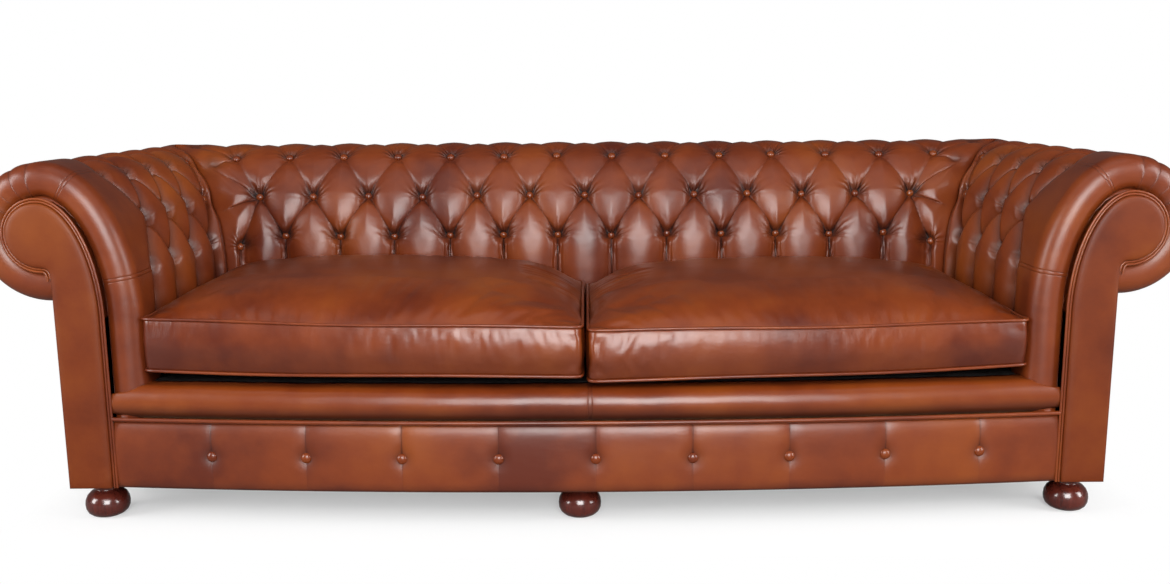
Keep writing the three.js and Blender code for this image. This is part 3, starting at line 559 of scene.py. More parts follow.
def settle(piece, finish, body="sofa", replaces=()):
    piece.data.materials.clear()
    piece.data.materials.append(finish)
    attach(piece, body)
    if replaces:
        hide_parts(*replaces)
    print(piece.name, len(piece.data.polygons), "faces")
    return piece


def read(items, key, size=1, kind=float):
    """What a mesh's items say, as an array with a row for each item."""
    numbers = np.empty(len(items) * size, dtype=kind)
    items.foreach_get(key, numbers)
    return numbers.reshape(-1, size) if size > 1 else numbers


# %% [markdown]
# ## The scroll section
# Arms and back share one section: a straight inner face, a quarter of an ellipse that leans
# outwards and a round roll that turns under. It is worked out once as a table against the distance
# along the leather, so that buttons can be set out on the leather itself, as an upholsterer does
# with chalk.

# %% Section sizes and tables
half_seat = 920 * mm
seat_depth = 620 * mm
curve_start = 440 * mm
crest_height = 760 * mm
crest_back = 186 * mm
roll_radius = 144 * mm
roll_tuck = 23 * mm
pad_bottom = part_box("back_pad")[0][2]
roll_centre = crest_height - roll_radius


def section_table():
    """Distance along the leather, setback, height and the outward normal's two parts."""
    rise = crest_height - curve_start
    low = np.linspace(pad_bottom, curve_start, 60)[:-1]
    turn = np.linspace(0, math.pi / 2, 500)[:-1]
    under = math.pi / 2 + math.asin(roll_tuck / roll_radius)
    bend = np.linspace(math.pi / 2, -under, 700)
    parts = (
        (np.zeros_like(low), crest_back * (1 - np.cos(turn)),
         crest_back + roll_radius * np.cos(bend)),
        (low, curve_start + rise * np.sin(turn), roll_centre + roll_radius * np.sin(bend)),
    )
    setback, height = map(np.concatenate, parts)
    lean = np.hypot(np.cos(turn) / crest_back, np.sin(turn) / rise)
    parts = (
        (-np.ones_like(low), -np.cos(turn) / crest_back / lean, np.cos(bend)),
        (np.zeros_like(low), np.sin(turn) / rise / lean, np.sin(bend)),
    )
    outward_s, outward_z = map(np.concatenate, parts)
    steps = np.hypot(np.diff(setback), np.diff(height))
    along = np.concatenate(([0], np.cumsum(steps))) - (curve_start - pad_bottom)
    return along, setback, height, outward_s, outward_z


section = section_table()
skin_start, skin_end = section[0][0], section[0][-1]


def skin_at(v):
    """Setback, height and normal at a distance along the leather from the curve's start."""
    return [np.interp(v, section[0], part) for part in section[1:]]


def lining_points():
    """The hollow that the frame lies in, from the end of the roll back to the pad's foot."""
    inner, outer = 69.7 * mm, 163 * mm
    radius, centre = 70.3 * mm, 613 * mm
    points = [(outer, 500 * mm), (outer, 522 * mm), (168 * mm, 538 * mm)]
    for turn in np.linspace(-math.pi / 2, math.pi / 2, 11):
        points.append((crest_back + radius * math.cos(turn), centre + radius * math.sin(turn)))
    for turn in np.linspace(math.pi / 2, 0, 9)[1:]:
        points.append((crest_back - (crest_back - inner) * math.cos(turn),
                       curve_start + (centre + radius - curve_start) * math.sin(turn)))
    points += [(inner, 330 * mm), (inner, pad_bottom)]
    return np.array(points)


lining = lining_points()
print("leather runs", round(skin_end - skin_start, 3), "m round the section")

# %% [markdown]
# ## Deep buttoning
# Buttons sit in four staggered rows, the lowest just above the cushions and the highest behind the
# crest. Between them the spare leather is folded into pleats, always with the upper pillow lapping
# over the lower one, so that no crumbs gather. Below the lowest row and over the roll the pleats
# run straight. The form is worked out as a depth below the pillows' crowns: deepest at a button,
# shallow halfway along a pleat and nothing in a pillow's middle. A second number slides the
# leather down the slope just above a pleat, which makes the lap. The arms are stuffed harder than
# the back, so their pleats are deeper and their pillows are fuller rounds.

# %% Buttoning sizes
row_heights = (92 * mm, 204 * mm, 325 * mm, 440 * mm)
first_row = row_heights[0]
back_gaps = 13
back_pitch = 2 * half_seat / back_gaps
arm_first = 172 * mm
arm_pitch = 131 * mm
button_depth = 38 * mm
back_pleat, arm_pleat, corner_fold = 17 * mm, 57 * mm, 12 * mm
lowest_pleat = 25 * mm
pit_reach, pit_floor, pit_floor_reach = 64 * mm, 10 * mm, 24 * mm
pit_dark_reach = 25 * mm
pleat_reach = 60 * mm
lap = lap_width = 7 * mm
lap_near_button, lap_reach = 12 * mm, 40 * mm
hem_floor, hem_start, hem_rise = 9 * mm, 10 * mm, 60 * mm
fold_width, fold_reach = 5.5 * mm, 34 * mm

# How much of a pleat's depth is lost high on the section and won back over the crest, and how much
# of it follows a round pillow and how much a hollow one.
slack_pleat = (0.6, 0.3, 0.5, 0.45)
full_pleat, full_from = (0.4, 0.1, 0.88, 0.1), 30 * mm


def ease(value):
    value = np.clip(value, 0, 1)
    return value * value * (3 - 2 * value)


# %% Setting out buttons and pleats
def button_rows(first, pitch, last):
    """For each row the places of its buttons, up to a last place for the row."""
    rows = []
    for row, height in enumerate(row_heights):
        start = first + (row % 2) * pitch / 2
        count = int((last[row] - start) / pitch + 0.001) + 1
        rows.append([(start + i * pitch, height) for i in range(count)])
    return rows


def pleats_between(rows, pitch, deep):
    """Slanting pleats between neighbouring rows and straight ones beyond the first and last."""
    pleats = []
    for lower, upper in zip(rows, rows[1:]):
        for u, v in lower:
            pleats += [((u, v), end, True, deep) for end in upper if abs(end[0] - u) < pitch]
    pleats += [((u, v), (u, skin_start), False, max(deep, lowest_pleat)) for u, v in rows[0]]
    pleats += [((u, v), (u, skin_end + 0.1), False, deep) for u, v in rows[-1]]
    return pleats


def wander(u, v):
    """Small smooth shifts, so that no two pillows are quite alike."""
    du = np.sin(9.1 * u + 6.3 * v + 0.7) + 0.7 * np.sin(23.7 * u - 17.9 * v + 2.1)
    dv = np.sin(11.3 * u - 8.7 * v + 1.9) + 0.7 * np.sin(19.9 * u + 27.1 * v + 4.2)
    return 1.6 * mm * du, 1.6 * mm * dv


# %% The form between the buttons
def buttoning(u, v, pleats):
    """Depth below the crowns, slide down the slope, signed distance to a pleat, fold and the
    painted shade of the pits.
    """
    shift_u, shift_v = wander(u, v)
    u, v = u + shift_u, v + shift_v
    depth, slide, pit_shade, fold = (np.zeros_like(u) for _ in range(4))
    nearest = signed = np.ones_like(u)
    high = ease((v - 150 * mm) / (190 * mm))
    crest = ease((v - 380 * mm) / (70 * mm))
    for (u0, v0), (u1, v1), slanting, deep in pleats:
        on_high, on_crest, rounded, hollow = full_pleat if deep > full_from else slack_pleat
        shallow = 1 - on_high * high + on_crest * crest
        run_u, run_v = u1 - u0, v1 - v0
        length = math.hypot(run_u, run_v)
        share = np.clip(((u - u0) * run_u + (v - v0) * run_v) / length ** 2, 0, 1)
        off_u, off_v = u - u0 - share * run_u, v - v0 - share * run_v
        distance = np.hypot(off_u, off_v)
        to_button, above = np.hypot(u - u0, v - v0), v - v0
        if slanting:
            to_other = np.hypot(u - u1, v - v1)
            above = np.where(to_other < to_button, v - v1, above)
            to_button = np.minimum(to_button, to_other)
        pit = np.clip(1 - to_button / pit_reach, 0, 1) ** 1.7
        floor_width = pit_floor * np.clip(1.25 - to_button / pit_floor_reach, 0, 1)
        strength = 0.3 + 0.7 * np.exp(-(to_button / fold_reach) ** 2)
        if v1 < v0:
            hem = ease((v0 - v - hem_start) / hem_rise)
            floor_width = np.maximum(floor_width, hem_floor * hem)
            strength = np.maximum(strength, 0.55)
        full = np.clip(1 - np.maximum(distance - floor_width, 0) / pleat_reach, 0, 1)
        crease = 1 - np.sqrt(1 - full ** 2)
        fall = deep * (rounded * crease + hollow * full ** 2)
        to_pit = max(button_depth, deep + 4 * mm) - deep
        depth = np.maximum(depth, (fall + to_pit * pit * crease) * shallow)
        above_u, above_v = -run_v / length, run_u / length
        if above_v < 0:
            above_u, above_v = -above_u, -above_v
        upper = (off_u * above_u + off_v * above_v) / (distance + 1e-6)
        near_button = np.clip(1 - to_button / lap_reach, 0, 1)
        width = lap_width + lap_near_button * near_button
        press = lap * (1 + 0.6 * near_button) * min(1, above_v / 0.5) * (1 - 0.5 * high)
        slope = distance / width * np.exp(1 - distance / width)
        slide = np.maximum(slide, press * np.clip(upper, 0, 1) * slope)
        closer = distance < nearest
        nearest = np.where(closer, distance, nearest)
        signed = np.where(closer, distance * np.where(upper >= 0, 1, -1), signed)
        # How dark a pleat's line is drawn: partly antique wax, partly painted shade.
        fold = np.maximum(fold, np.exp(-distance / fold_width) * strength * (1 - 0.85 * high))
        # Painted shade of a pit: dark round the button and most of all above it, where the upper
        # pillow overhangs.
        dark = np.exp(-(to_button / pit_dark_reach) ** 2)
        pit_shade = np.maximum(pit_shade, dark * np.clip(0.6 + above / (20 * mm), 0.12, 1))
    return depth, slide, signed, fold, pit_shade


back_row_ends = (0.921, 0.86, 0.921, 1.0)
arm_row_ends = (0.58, 0.64, 0.71, 0.77)
corner_button_u, corner_button_v = 0.885, 64 * mm
corner_folds = (
    ((849, 204), (950, 150)), ((849, 204), (985, 290)),
    ((920, 325), (985, 290)), ((920, 325), (1050, 385)),
)
back_rows = button_rows(-half_seat, back_pitch, back_row_ends)
top_left = back_rows[3][0]
back_rows[3].insert(0, (top_left[0] - back_pitch, top_left[1]))
back_rows[0][0] = (-corner_button_u, corner_button_v)
back_rows[0][-1] = (corner_button_u, corner_button_v)
arm_rows = button_rows(arm_first, arm_pitch, arm_row_ends)
back_pleats = pleats_between(back_rows, back_pitch, back_pleat)
arm_pleats = pleats_between(arm_rows, arm_pitch, arm_pleat)
for fold_ends in corner_folds:
    for sign in (-1, 1):
        start, end = ((sign * u * mm, v * mm) for u, v in fold_ends)
        back_pleats.append((start, end, True, corner_fold))
print("buttons on the back:", sum(map(len, back_rows)), "and on each arm:", sum(map(len, arm_rows)))

# %% [markdown]
# ## Pads of the back and the arms
# Each pad is a net whose columns run along the pad and whose rows run round the section and back
# through the hollow of the frame. Towards a rear corner the columns stop at the mitre inside the
# crest, where back and arm are drawn together in one deep pleat, and outside it they fan round the
# corner, so that the roll turns like a ball. At an arm's front the section shrinks round a nose
# that dives behind the facing.

# %% Pad form
corner_span = roll_radius * math.pi / 4
corner_pleat = 9 * mm
corner_reach, corner_plain = 62 * mm, 42 * mm
corner_dark, corner_line = 24 * mm, 12 * mm
gather_half, gather_length = 19 * mm, 55 * mm
soft_line = 5 * mm
corner_pits = ((0.180, 0.014), (0.285, 0.011), (0.380, 0.008))
nose_roll = 37 * mm
nose_front = 15.2 * mm
nose_return = (31 * mm, 20 * mm)
nose_inner_arc = nose_roll * math.pi / 2
nose_outer_arc = 41 * mm
nose_end = nose_front + nose_roll


def corner_depth(v):
    """How deep the valley in the corner is: drawn in at each row, and less over the crest."""
    drawn = sum(deep * np.exp(-((v - row) / 0.03) ** 2) for row, deep in corner_pits)
    return corner_pleat * (1 - 0.75 * ease((v - 0.3) / 0.16)) + drawn


def nose(u):
    """Place along the arm and shrink of the section, at a distance along the nose's leather."""
    round_ = nose_end - u
    inner = np.clip(1 - round_ / nose_inner_arc, 0, 1) * math.pi / 2
    outer = np.clip((round_ - nose_inner_arc) / nose_outer_arc, 0, 1) * math.pi / 2
    place = np.where(round_ < nose_inner_arc, nose_end - nose_roll * np.cos(inner),
                     nose_front + nose_return[1] * (1 - np.cos(outer)))
    shrink = nose_roll * (1 - np.sin(inner)) + nose_return[0] * np.sin(outer)
    return np.where(round_ > 0, place, u), np.where(round_ > 0, shrink, 0)


def pad_places(u, v, lining_row, pleats, corner, gathers=()):
    """Setback, place along the pad and height of points of the leather, with the marks there."""
    reach = np.abs(u) if corner == half_seat else u
    skin = lining_row < 0
    base = skin_at(v)
    line = lining[np.clip(lining_row, 0, len(lining) - 1)]
    setback = np.where(skin, base[0], line[:, 0])
    inside = setback <= crest_back
    limit = corner + np.minimum(setback, crest_back)
    straight = np.minimum(reach, limit)
    fan = np.clip((reach - corner - crest_back) / corner_span, 0, 1) * (~inside)
    from_corner = np.where(inside, limit - straight, corner + crest_back - reach + corner_span)
    from_corner = np.maximum(from_corner * 0.72, 0)
    flip = np.where(u < 0, -1, 1)
    depth, slide, signed, fold, pit = buttoning(flip * np.abs(straight), v, pleats)
    plain = ease(from_corner / corner_plain)
    tuck = np.clip(1 - from_corner / corner_reach, 0, 1)
    valley = 0.3 * (1 - np.sqrt(1 - tuck ** 2)) + 0.7 * tuck ** 2
    depth = np.maximum(depth * plain, corner_depth(v) * valley)
    signed = np.where(from_corner < corner_line, from_corner, signed)
    # Painted shade along the corner's valley, darker the deeper the corner is drawn in.
    drawn = corner_depth(v) / corner_dark
    fold = np.maximum(fold * plain, np.exp(-from_corner / soft_line) * 0.35 * drawn)
    pit = pit * plain
    for place, deep, end in gathers:
        off, ending = v - place, ease((end - u) / gather_length)
        near = np.clip(1 - np.abs(off) / gather_half, 0, 1)
        depth = depth + deep * (1 - np.sqrt(1 - near ** 2)) * ending
        signed = np.where(np.abs(off) < np.abs(signed), off, signed)
        # Each gather is darkened along its line, partly antique wax and partly painted shade.
        fold = np.maximum(fold, 0.25 * np.exp(-np.abs(off) / soft_line) * ending)
    shrink = 0.0
    if corner == seat_depth:
        straight, shrink = nose(straight)
    base = skin_at(v - slide * plain)
    moved = np.where(skin, base[0] - (depth + shrink) * base[2], line[:, 0])
    height = np.where(skin, base[1] - (depth + shrink) * base[3], line[:, 1])
    pulled = straight + (moved - setback) * ease(1 - from_corner / corner_reach) * inside
    ball = np.maximum(moved - crest_back, 0)
    along = np.where(inside, pulled, straight + ball * np.sin(fan * math.pi / 4))
    back = np.where(inside, moved, crest_back + (moved - crest_back) * np.cos(fan * math.pi / 4))
    above_roll_end = skin_at(skin_end)[1] + shrink + 1 * mm
    first_lining = (lining_row >= 0) & (lining_row < 3)
    height = np.where(first_lining, np.maximum(height, above_roll_end), height)
    side = flip if corner == half_seat else 1
    marks = {"pleat": signed, "fold": np.where(skin, fold, 0), "pit": np.where(skin, pit, 0),
             "hem": ease((first_row - v - 8 * mm) / (26 * mm)) * plain}
    return back, side * along, height, marks


def nearest_button(piece, rows):
    """A UV map with the offset from the nearest button, face by face."""
    u, v = (read(piece.data.attributes[key].data, "value") for key in ("along", "round"))
    loops = read(piece.data.loops, "vertex_index", kind=int)
    faces = read(piece.data.polygons, "loop_total", kind=int)
    owner = np.repeat(np.arange(len(faces)), faces)
    face_u = np.bincount(owner, u[loops]) / faces
    face_v = np.bincount(owner, v[loops]) / faces
    best = np.full(len(faces), 9.0)
    near_u, near_v = np.zeros(len(faces)), np.zeros(len(faces))
    for button_u, button_v in [button for row in rows for button in row]:
        far = np.hypot(face_u - button_u, face_v - button_v)
        closer = far < best
        best[closer], near_u[closer], near_v[closer] = far[closer], button_u, button_v
    layer = piece.data.uv_layers.new(name="button")
    offsets = np.column_stack((u[loops] - near_u[owner], v[loops] - near_v[owner]))
    layer.data.foreach_set("uv", offsets.ravel().astype(np.float32))


# %% [markdown]
# The net is fine where the buttons are and coarse where the leather is plain or hidden. Two seams
# run back from each arm's nose, where the leather is pieced, and the finish draws their stitches.

# %% Making a pad
fine = 3.6 * mm
arm_seams = (85 * mm, 330 * mm)
skin_rows = np.concatenate((
    np.linspace(skin_start, -70 * mm, 12)[:-1],
    np.arange(-70 * mm, 470 * mm, fine),
    np.linspace(470 * mm, skin_end, 66),
))
row_kind = np.concatenate((np.full(len(skin_rows), -1), np.arange(len(lining)), [-1]))
row_v = np.concatenate((skin_rows, np.full(len(lining), skin_end), [skin_start]))


def pad(name, columns, pleats, corner, place, gathers=()):
    made, column, row = net(len(columns), len(row_v))
    u, v, kind = columns[column], row_v[row], row_kind[row]
    setback, along, height, marks = pad_places(u, v, kind, pleats, corner, gathers)
    if corner == seat_depth:
        lower, upper = (v - seam for seam in arm_seams)
        sewn = np.where(np.abs(lower) < np.abs(upper), lower, upper)
        at_front = ease((0.15 - u) / (50 * mm)) * (kind < 0)
        marks["sewn"] = sewn
        marks["stitched"] = np.exp(-(np.abs(sewn) / (10 * mm)) ** 2) * at_front
    return drape(made, name, *place(setback, along), height, along=u, round=v, **marks)


def back_place(setback, along):
    return along, front + seat_depth + setback


def arm_place(side):
    return lambda setback, along: (side * (half_seat + setback), front + along)


far_end = half_seat + crest_back + corner_span
fine_end = 1.03
back_columns = np.concatenate((
    np.linspace(-far_end, -fine_end, 30)[:-1],
    np.linspace(-fine_end, fine_end, 573),
    np.linspace(fine_end, far_end, 30)[1:],
))
back = pad("back", back_columns, back_pleats, half_seat, back_place)
nearest_button(back, back_rows)
settle(back, buttoned_leather, replaces=("back_pad",))

# %% [markdown]
# The arms are the same section. Where the leather is drawn round the front of the scroll it is
# gathered in a few pleats that fan from the facing over the top and the outside of the roll.

# %% Arms
arm_end = seat_depth + crest_back + corner_span
arm_columns = np.concatenate((
    np.linspace(nose_end - nose_inner_arc - nose_outer_arc, nose_end, 30)[:-1],
    np.arange(nose_end, seat_depth + 110 * mm, fine),
    np.linspace(seat_depth + 110 * mm, arm_end, 34),
))
scroll_gathers = [(0.43 + 0.041 * i, 4 * mm, 0.084 + 0.013 * (i % 3)) for i in range(6)]

for name, side in sides:
    arm = pad(f"{name}_arm", arm_columns, arm_pleats, seat_depth, arm_place(side), scroll_gathers)
    nearest_button(arm, arm_rows)
    settle(arm, arm_leather, replaces=(f"{name}_arm_pad",))

# %% [markdown]
# ## Covered buttons
# Each button is a flattened ball covered in the same leather, pulled to the bottom of its pit by a
# twine. A ball from the sphere operator, flattened and turned to the pad's own slope, is set at
# each place of the lattice, and a pad's buttons are joined into one mesh.

# %% Buttons
tuft_radius, tuft_height = 10 * mm, 7.5 * mm


def cap_ball(made, place, out, radius, height):
    """A flattened ball whose short axis points outwards."""
    flat = Matrix.Diagonal((1, 1, height / radius, 1))
    bmesh.ops.create_uvsphere(made, u_segments=20, v_segments=10, radius=radius,
                              matrix=Matrix.Translation(place) @ facing_out(out) @ flat)


def tuft_buttons(name, rows, pleats, corner, place):
    made = bmesh.new()
    buttons = [button for row in rows for button in row]
    for u, v in buttons:
        shift_u, shift_v = wander(np.array([u]), np.array([v]))
        near_u, near_v = u - shift_u, v - shift_v
        setback, along, height, _ = pad_places(near_u, near_v, np.full(1, -1), pleats, corner)
        spot = Vector(np.ravel((*place(setback, along), height)))
        base, _, normal_s, normal_z = skin_at(near_v)
        foot, tip = (np.ravel(place(level, np.array([u]))) for level in (base, base + normal_s))
        out = Vector((*(tip - foot), normal_z[0])).normalized()
        cap_ball(made, spot + out * 4 * mm, out, tuft_radius, tuft_height)
    settle(to_piece(made, name), button_leather)
    print(name, "has", len(buttons), "buttons")


tuft_buttons("back_buttons", back_rows, back_pleats, half_seat, back_place)
for name, side in sides:
    tuft_buttons(f"{name}_arm_buttons", arm_rows, arm_pleats, seat_depth, arm_place(side))

# %% [markdown]
# ## Arm facings
# The front of each arm is a scroll-shaped board covered with thinly padded leather. Its outline is
# the pads' own section, drawn further in, so it is worked out with the same ellipse and circle. The
# outline is filled as one face and inset several times, and each inner ring stands a little
# prouder. A ring's two numbers are its width and how far it lies behind the front, in millimetres.

# %% Facing outline
facing_setback = 77 * mm
facing_outer = 167 * mm
scroll_radius = 66 * mm
scroll_centre = 613 * mm
facing_rise = 239 * mm
facing_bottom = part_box("left_facing")[0][2]
facing_thickness = 14.7 * mm
scroll_foot = 20 * mm
facing_rings = ((1.2, 2.2), (1.8, 0.9), (4, -0.4), (8, -1.2))


def scroll_line(grow, steps=26):
    """From the foot of the inner edge, over the scroll, to the foot of the outer edge."""
    inner, outer = facing_setback - grow, facing_outer + grow
    points = [(inner, height) for height in np.linspace(facing_bottom, curve_start, 16)[:-1]]
    for turn in np.linspace(0, math.pi / 2, steps)[:-1]:
        points.append((crest_back - (crest_back - inner) * math.cos(turn),
                       curve_start + (facing_rise + grow) * math.sin(turn)))
    radius = scroll_radius + grow
    for turn in np.linspace(math.pi / 2, -math.pi / 2, 2 * steps):
        points.append((crest_back + radius * math.cos(turn),
                       scroll_centre + radius * math.sin(turn)))
    under = scroll_centre - radius
    for share in np.linspace(0, 1, 8)[1:]:
        first, middle, last = (1 - share) ** 2, 2 * share * (1 - share), share ** 2
        points.append((first * crest_back + middle * outer + last * outer,
                       first * under + middle * under + last * (under - scroll_foot)))
    return points


def facing(name, side):
    made = bmesh.new()
    line = scroll_line(0)
    line += [(facing_outer, height) for height in np.linspace(line[-1][1], facing_bottom, 14)[1:]]
    rim = [made.verts.new((side * (half_seat + out), front + facing_thickness, height))
           for out, height in line]
    face = made.faces.new(rim)
    pushed = bmesh.ops.extrude_face_region(made, geom=[face])["geom"]
    top = [item for item in pushed if isinstance(item, bmesh.types.BMVert)]
    bmesh.ops.translate(made, verts=top, vec=(0, 4 * mm - facing_thickness, 0))
    face = [item for item in pushed if isinstance(item, bmesh.types.BMFace)][0]
    bmesh.ops.recalc_face_normals(made, faces=made.faces)
    for inset, level in facing_rings:
        bmesh.ops.inset_region(
            made, faces=[face], thickness=inset * mm, depth=0, use_even_offset=True)
        for vert in face.verts:
            vert.co.y = front + level * mm
    bmesh.ops.triangulate(made, faces=[face])
    piece = to_piece(made, name + "_leather")
    settle(piece, facing_leather, replaces=(name,))


for name, side in sides:
    facing(f"{name}_facing", side)

# %% [markdown]
# ## Welts
# Every seam of the front carries a welt: a cord wrapped in a strip of leather. The facings have a
# double one, which is lighter where it is rubbed. A curve with a round bevel makes the tube, and
# the tube is then made a mesh.

# %% Cords of the welts
facing_cord, facing_cords_at = 2.7 * mm, (2.8 * mm, 8.4 * mm)
facing_cord_depth = 8.5 * mm


def tube(name, lines, radius, closed=False):
    curve = bpy.data.curves.new(name, "CURVE")
    curve.dimensions = "3D"
    curve.bevel_depth = radius
    curve.bevel_resolution = 3
    curve.use_fill_caps = True
    for line in lines:
        spline = curve.splines.new("POLY")
        spline.points.add(len(line) - 1)
        for point, place in zip(spline.points, line):
            point.co = (*place, 1)
        spline.use_cyclic_u = closed
    drawn = link(name + "_line", curve)
    bpy.context.view_layer.update()
    evaluated = drawn.evaluated_get(bpy.context.evaluated_depsgraph_get())
    mesh = bpy.data.meshes.new_from_object(evaluated)
    mesh.name = name
    bpy.data.objects.remove(drawn)
    bpy.data.curves.remove(curve)
    mesh.shade_smooth()
    return link(name, mesh)


for name, side in sides:
    lines = [[(side * (half_seat + out), front + facing_cord_depth, height)
              for out, height in scroll_line(offset, 34)] for offset in facing_cords_at]
    cords = tube(f"{name}_facing_cords", lines, facing_cord)
    settle(cords, welt_leather, replaces=(f"{name}_facing_welt",))

# %% [markdown]
# ## The bowed front
# The rail below the seat bows forwards. Its border of leather carries nine buttons, each with an
# upright pleat, and ends at a welt. Above that lies a padded lip, which keeps the cushions in.

# %% Bow and border
bow_end = 10.6 * mm
bow_depth = 49.6 * mm
bow_half = 985 * mm
front_half = 989 * mm
border_bottom, border_top = (corner[2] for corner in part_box("front_border"))
border_thickness = 12 * mm
border_count, border_pitch = 9, 200
border_buttons = [(20 + (i - border_count // 2) * border_pitch) * mm for i in range(border_count)]
border_button_height = 148 * mm
border_pit, border_shoulder = 36 * mm, 34 * mm


def bow(x):
    return front + bow_end - bow_depth * (1 - np.minimum(1, np.abs(x) / bow_half) ** 2)


def border_depth(x, z):
    depth, fold, pit = np.zeros_like(x), np.zeros_like(x), np.zeros_like(x)
    signed = np.full_like(x, 1.0)
    for button in border_buttons:
        off, rise = x - button, z - border_button_height
        near = np.clip(1 - np.hypot(off, rise) / border_pit, 0, 1)
        strength = np.where(rise > 0, 1, np.exp(rise / (30 * mm)))
        shoulder = np.clip(1 - np.abs(off) / border_shoulder, 0, 1)
        local = (4.5 * mm + 4 * mm * near) * strength
        depth = np.maximum(depth, local * (1 - np.sqrt(1 - shoulder ** 2)) + 5 * mm * near ** 2)
        signed = np.where(np.abs(off) < np.abs(signed), off, signed)
        # Each upright pleat darkens along its line, partly antique wax and partly painted shade,
        # and each button sits in a spot of painted shade.
        fold = np.maximum(fold, 0.4 * np.exp(-np.abs(off) / soft_line) * strength)
        pit = np.maximum(pit, 0.5 * np.exp(-(np.hypot(off, rise) / (16 * mm)) ** 2))
    share = np.clip((z - border_bottom) / (border_top - border_bottom), 0, 1)
    tuck = (9 * mm * np.exp(-(border_top - z) / (11 * mm))
            + 2 * mm * np.exp(-(z - border_bottom) / (6 * mm)))
    puff = 3.0 * mm * np.sin(share * math.pi) ** 0.7
    # Painted shade along the border's bottom edge.
    pit = np.maximum(pit, 0.4 * ease((border_bottom + 24 * mm - z) / (24 * mm)))
    return depth + tuck - puff, {"fold": fold, "pleat": signed, "pit": pit}


# %% [markdown]
# The border is a net as well: 26 rows up its front, then two rows behind, which have negative
# numbers until they get their place, and the first row again. Its leather is pieced, so each length
# between two buttons has a shade of its own.

# %% Border
hide_shades = np.array([0.02, 0.05, -0.02, 0.03, -0.07, -0.01, 0.03, -0.04, 0.03, -0.01])
border_columns = np.linspace(-front_half, front_half, 420)
border_rows = np.concatenate((np.linspace(border_bottom, border_top, 26), [-1, -2, border_bottom]))
made, column, row = net(len(border_columns), len(border_rows))
x, z = border_columns[column], border_rows[row]
depth, marks = border_depth(x, z)
marks["hide"] = hide_shades[np.searchsorted(border_buttons, x)]
y = bow(x) + np.where(z < 0, border_thickness, depth)
z = np.where(z == -1, border_top, np.where(z == -2, border_bottom, z))
border = drape(made, "border", x, y, z, **marks)
settle(border, body_leather, replaces=("front_border",))

# %% [markdown]
# The border's buttons lean with the bow. They are the same flattened balls as the pads' own, and
# the rail's welt is the same tube as the facings'.

# %% Border buttons and rail welt
border_button, rail_cord = (11.5 * mm, 8 * mm), 4.5 * mm
made = bmesh.new()
for button in border_buttons:
    lean = math.atan(2 * bow_depth * button / bow_half ** 2)
    place = (button, float(bow(button)) + 4.5 * mm, border_button_height)
    cap_ball(made, place, (math.sin(lean), -math.cos(lean), 0), *border_button)
settle(to_piece(made, "border_buttons"), button_leather,
       replaces=[f"front_button_{i + 1}" for i in range(border_count)])

line = [(x, float(bow(x)) - 1 * mm, border_top + 4.7 * mm)
        for x in np.linspace(-front_half, front_half, 90)]
settle(tube("rail_cord", [line], rail_cord), welt_leather, replaces=("rail_welt",))

# %% [markdown]
# The lip is a long roll of leather over a hard edge. Its round section is drawn once and carried
# along the bow, and a seam near the middle joins its two lengths. Between the arms' noses it is
# only as long as they leave room for.

# %% Lip roll
lip_bottom, lip_top = (corner[2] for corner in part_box("seat_lip_roll"))
lip_seam = 9 * mm
lip_round_back, lip_round_foot = 30 * mm, 240 * mm
lip_leather = leather("lip_leather", (0.43, 0.3, 0.75), 0.95, roughness=0.26)


def nose_limit(y):
    """Half the room between the arms' noses at a place behind the facings' front."""
    turn = np.arccos(np.clip((nose_end - y) / nose_roll, 0, 1))
    room = np.where(y < nose_front, front_half - half_seat, nose_roll * (1 - np.sin(turn)))
    return half_seat + room


def lip_section():
    """Distance back from the bow and height, from the back of the top round to the back's foot."""
    turns = np.radians(np.linspace(90, 250, 34))
    points = [(62, 295), (50, 295.1), (40, 295.1)]
    points += [(30 + 32.5 * math.cos(turn), 259 + 36 * math.sin(turn)) for turn in turns]
    points += [(30, 222), (62, 221.8), (62, 240), (62, 270), (62, 295)]
    return np.array(points) * mm


section_points = lip_section()
lip_columns = np.linspace(-front_half, front_half, 330)
made, column, row = net(len(lip_columns), len(section_points))
x = lip_columns[column]
out, z = section_points[row].T
seam = x - lip_seam
stitched = np.exp(-(seam / (10 * mm)) ** 2)
dip = 1.6 * mm * np.exp(-(seam / (9 * mm)) ** 2)
sway = 0.8 * mm * np.sin(x * 31 + 1) * np.sin(x * 13.7)
y = bow(x) + out + np.where(out < lip_round_back, dip + sway, 0)
z = np.clip(z + np.where(z > lip_round_foot, sway, 0), lip_bottom, lip_top + 1 * mm)
x = np.clip(x, -nose_limit(y - front), nose_limit(y - front))
# Painted shade: the lip darkens towards its lower round, and at its top under the cushions.
painted_shade = 0.8 * ease((264 * mm - z) / (34 * mm)) + 0.4 * ease((z - 292 * mm) / (8 * mm))
lip = drape(made, "lip_roll", x, y, z, sewn=seam, stitched=stitched,
            fold=0.3 * np.exp(-np.abs(seam) / (4 * mm)), pleat=np.full_like(x, 1.0), pit=painted_shade)
settle(lip, lip_leather, replaces=("seat_lip_roll",))

# %% [markdown]
# ## Outer panels
# Outside, arms and back are covered with plain leather over a thin layer of felt. It is drawn
# tight, so each panel is only a little fuller in its middle, with a shallow dip along its edges.

# %% Outer panels
panel_step = 14 * mm
panel_puff, panel_dip = (3.2 * mm, 26 * mm), (2.0 * mm, 4 * mm)


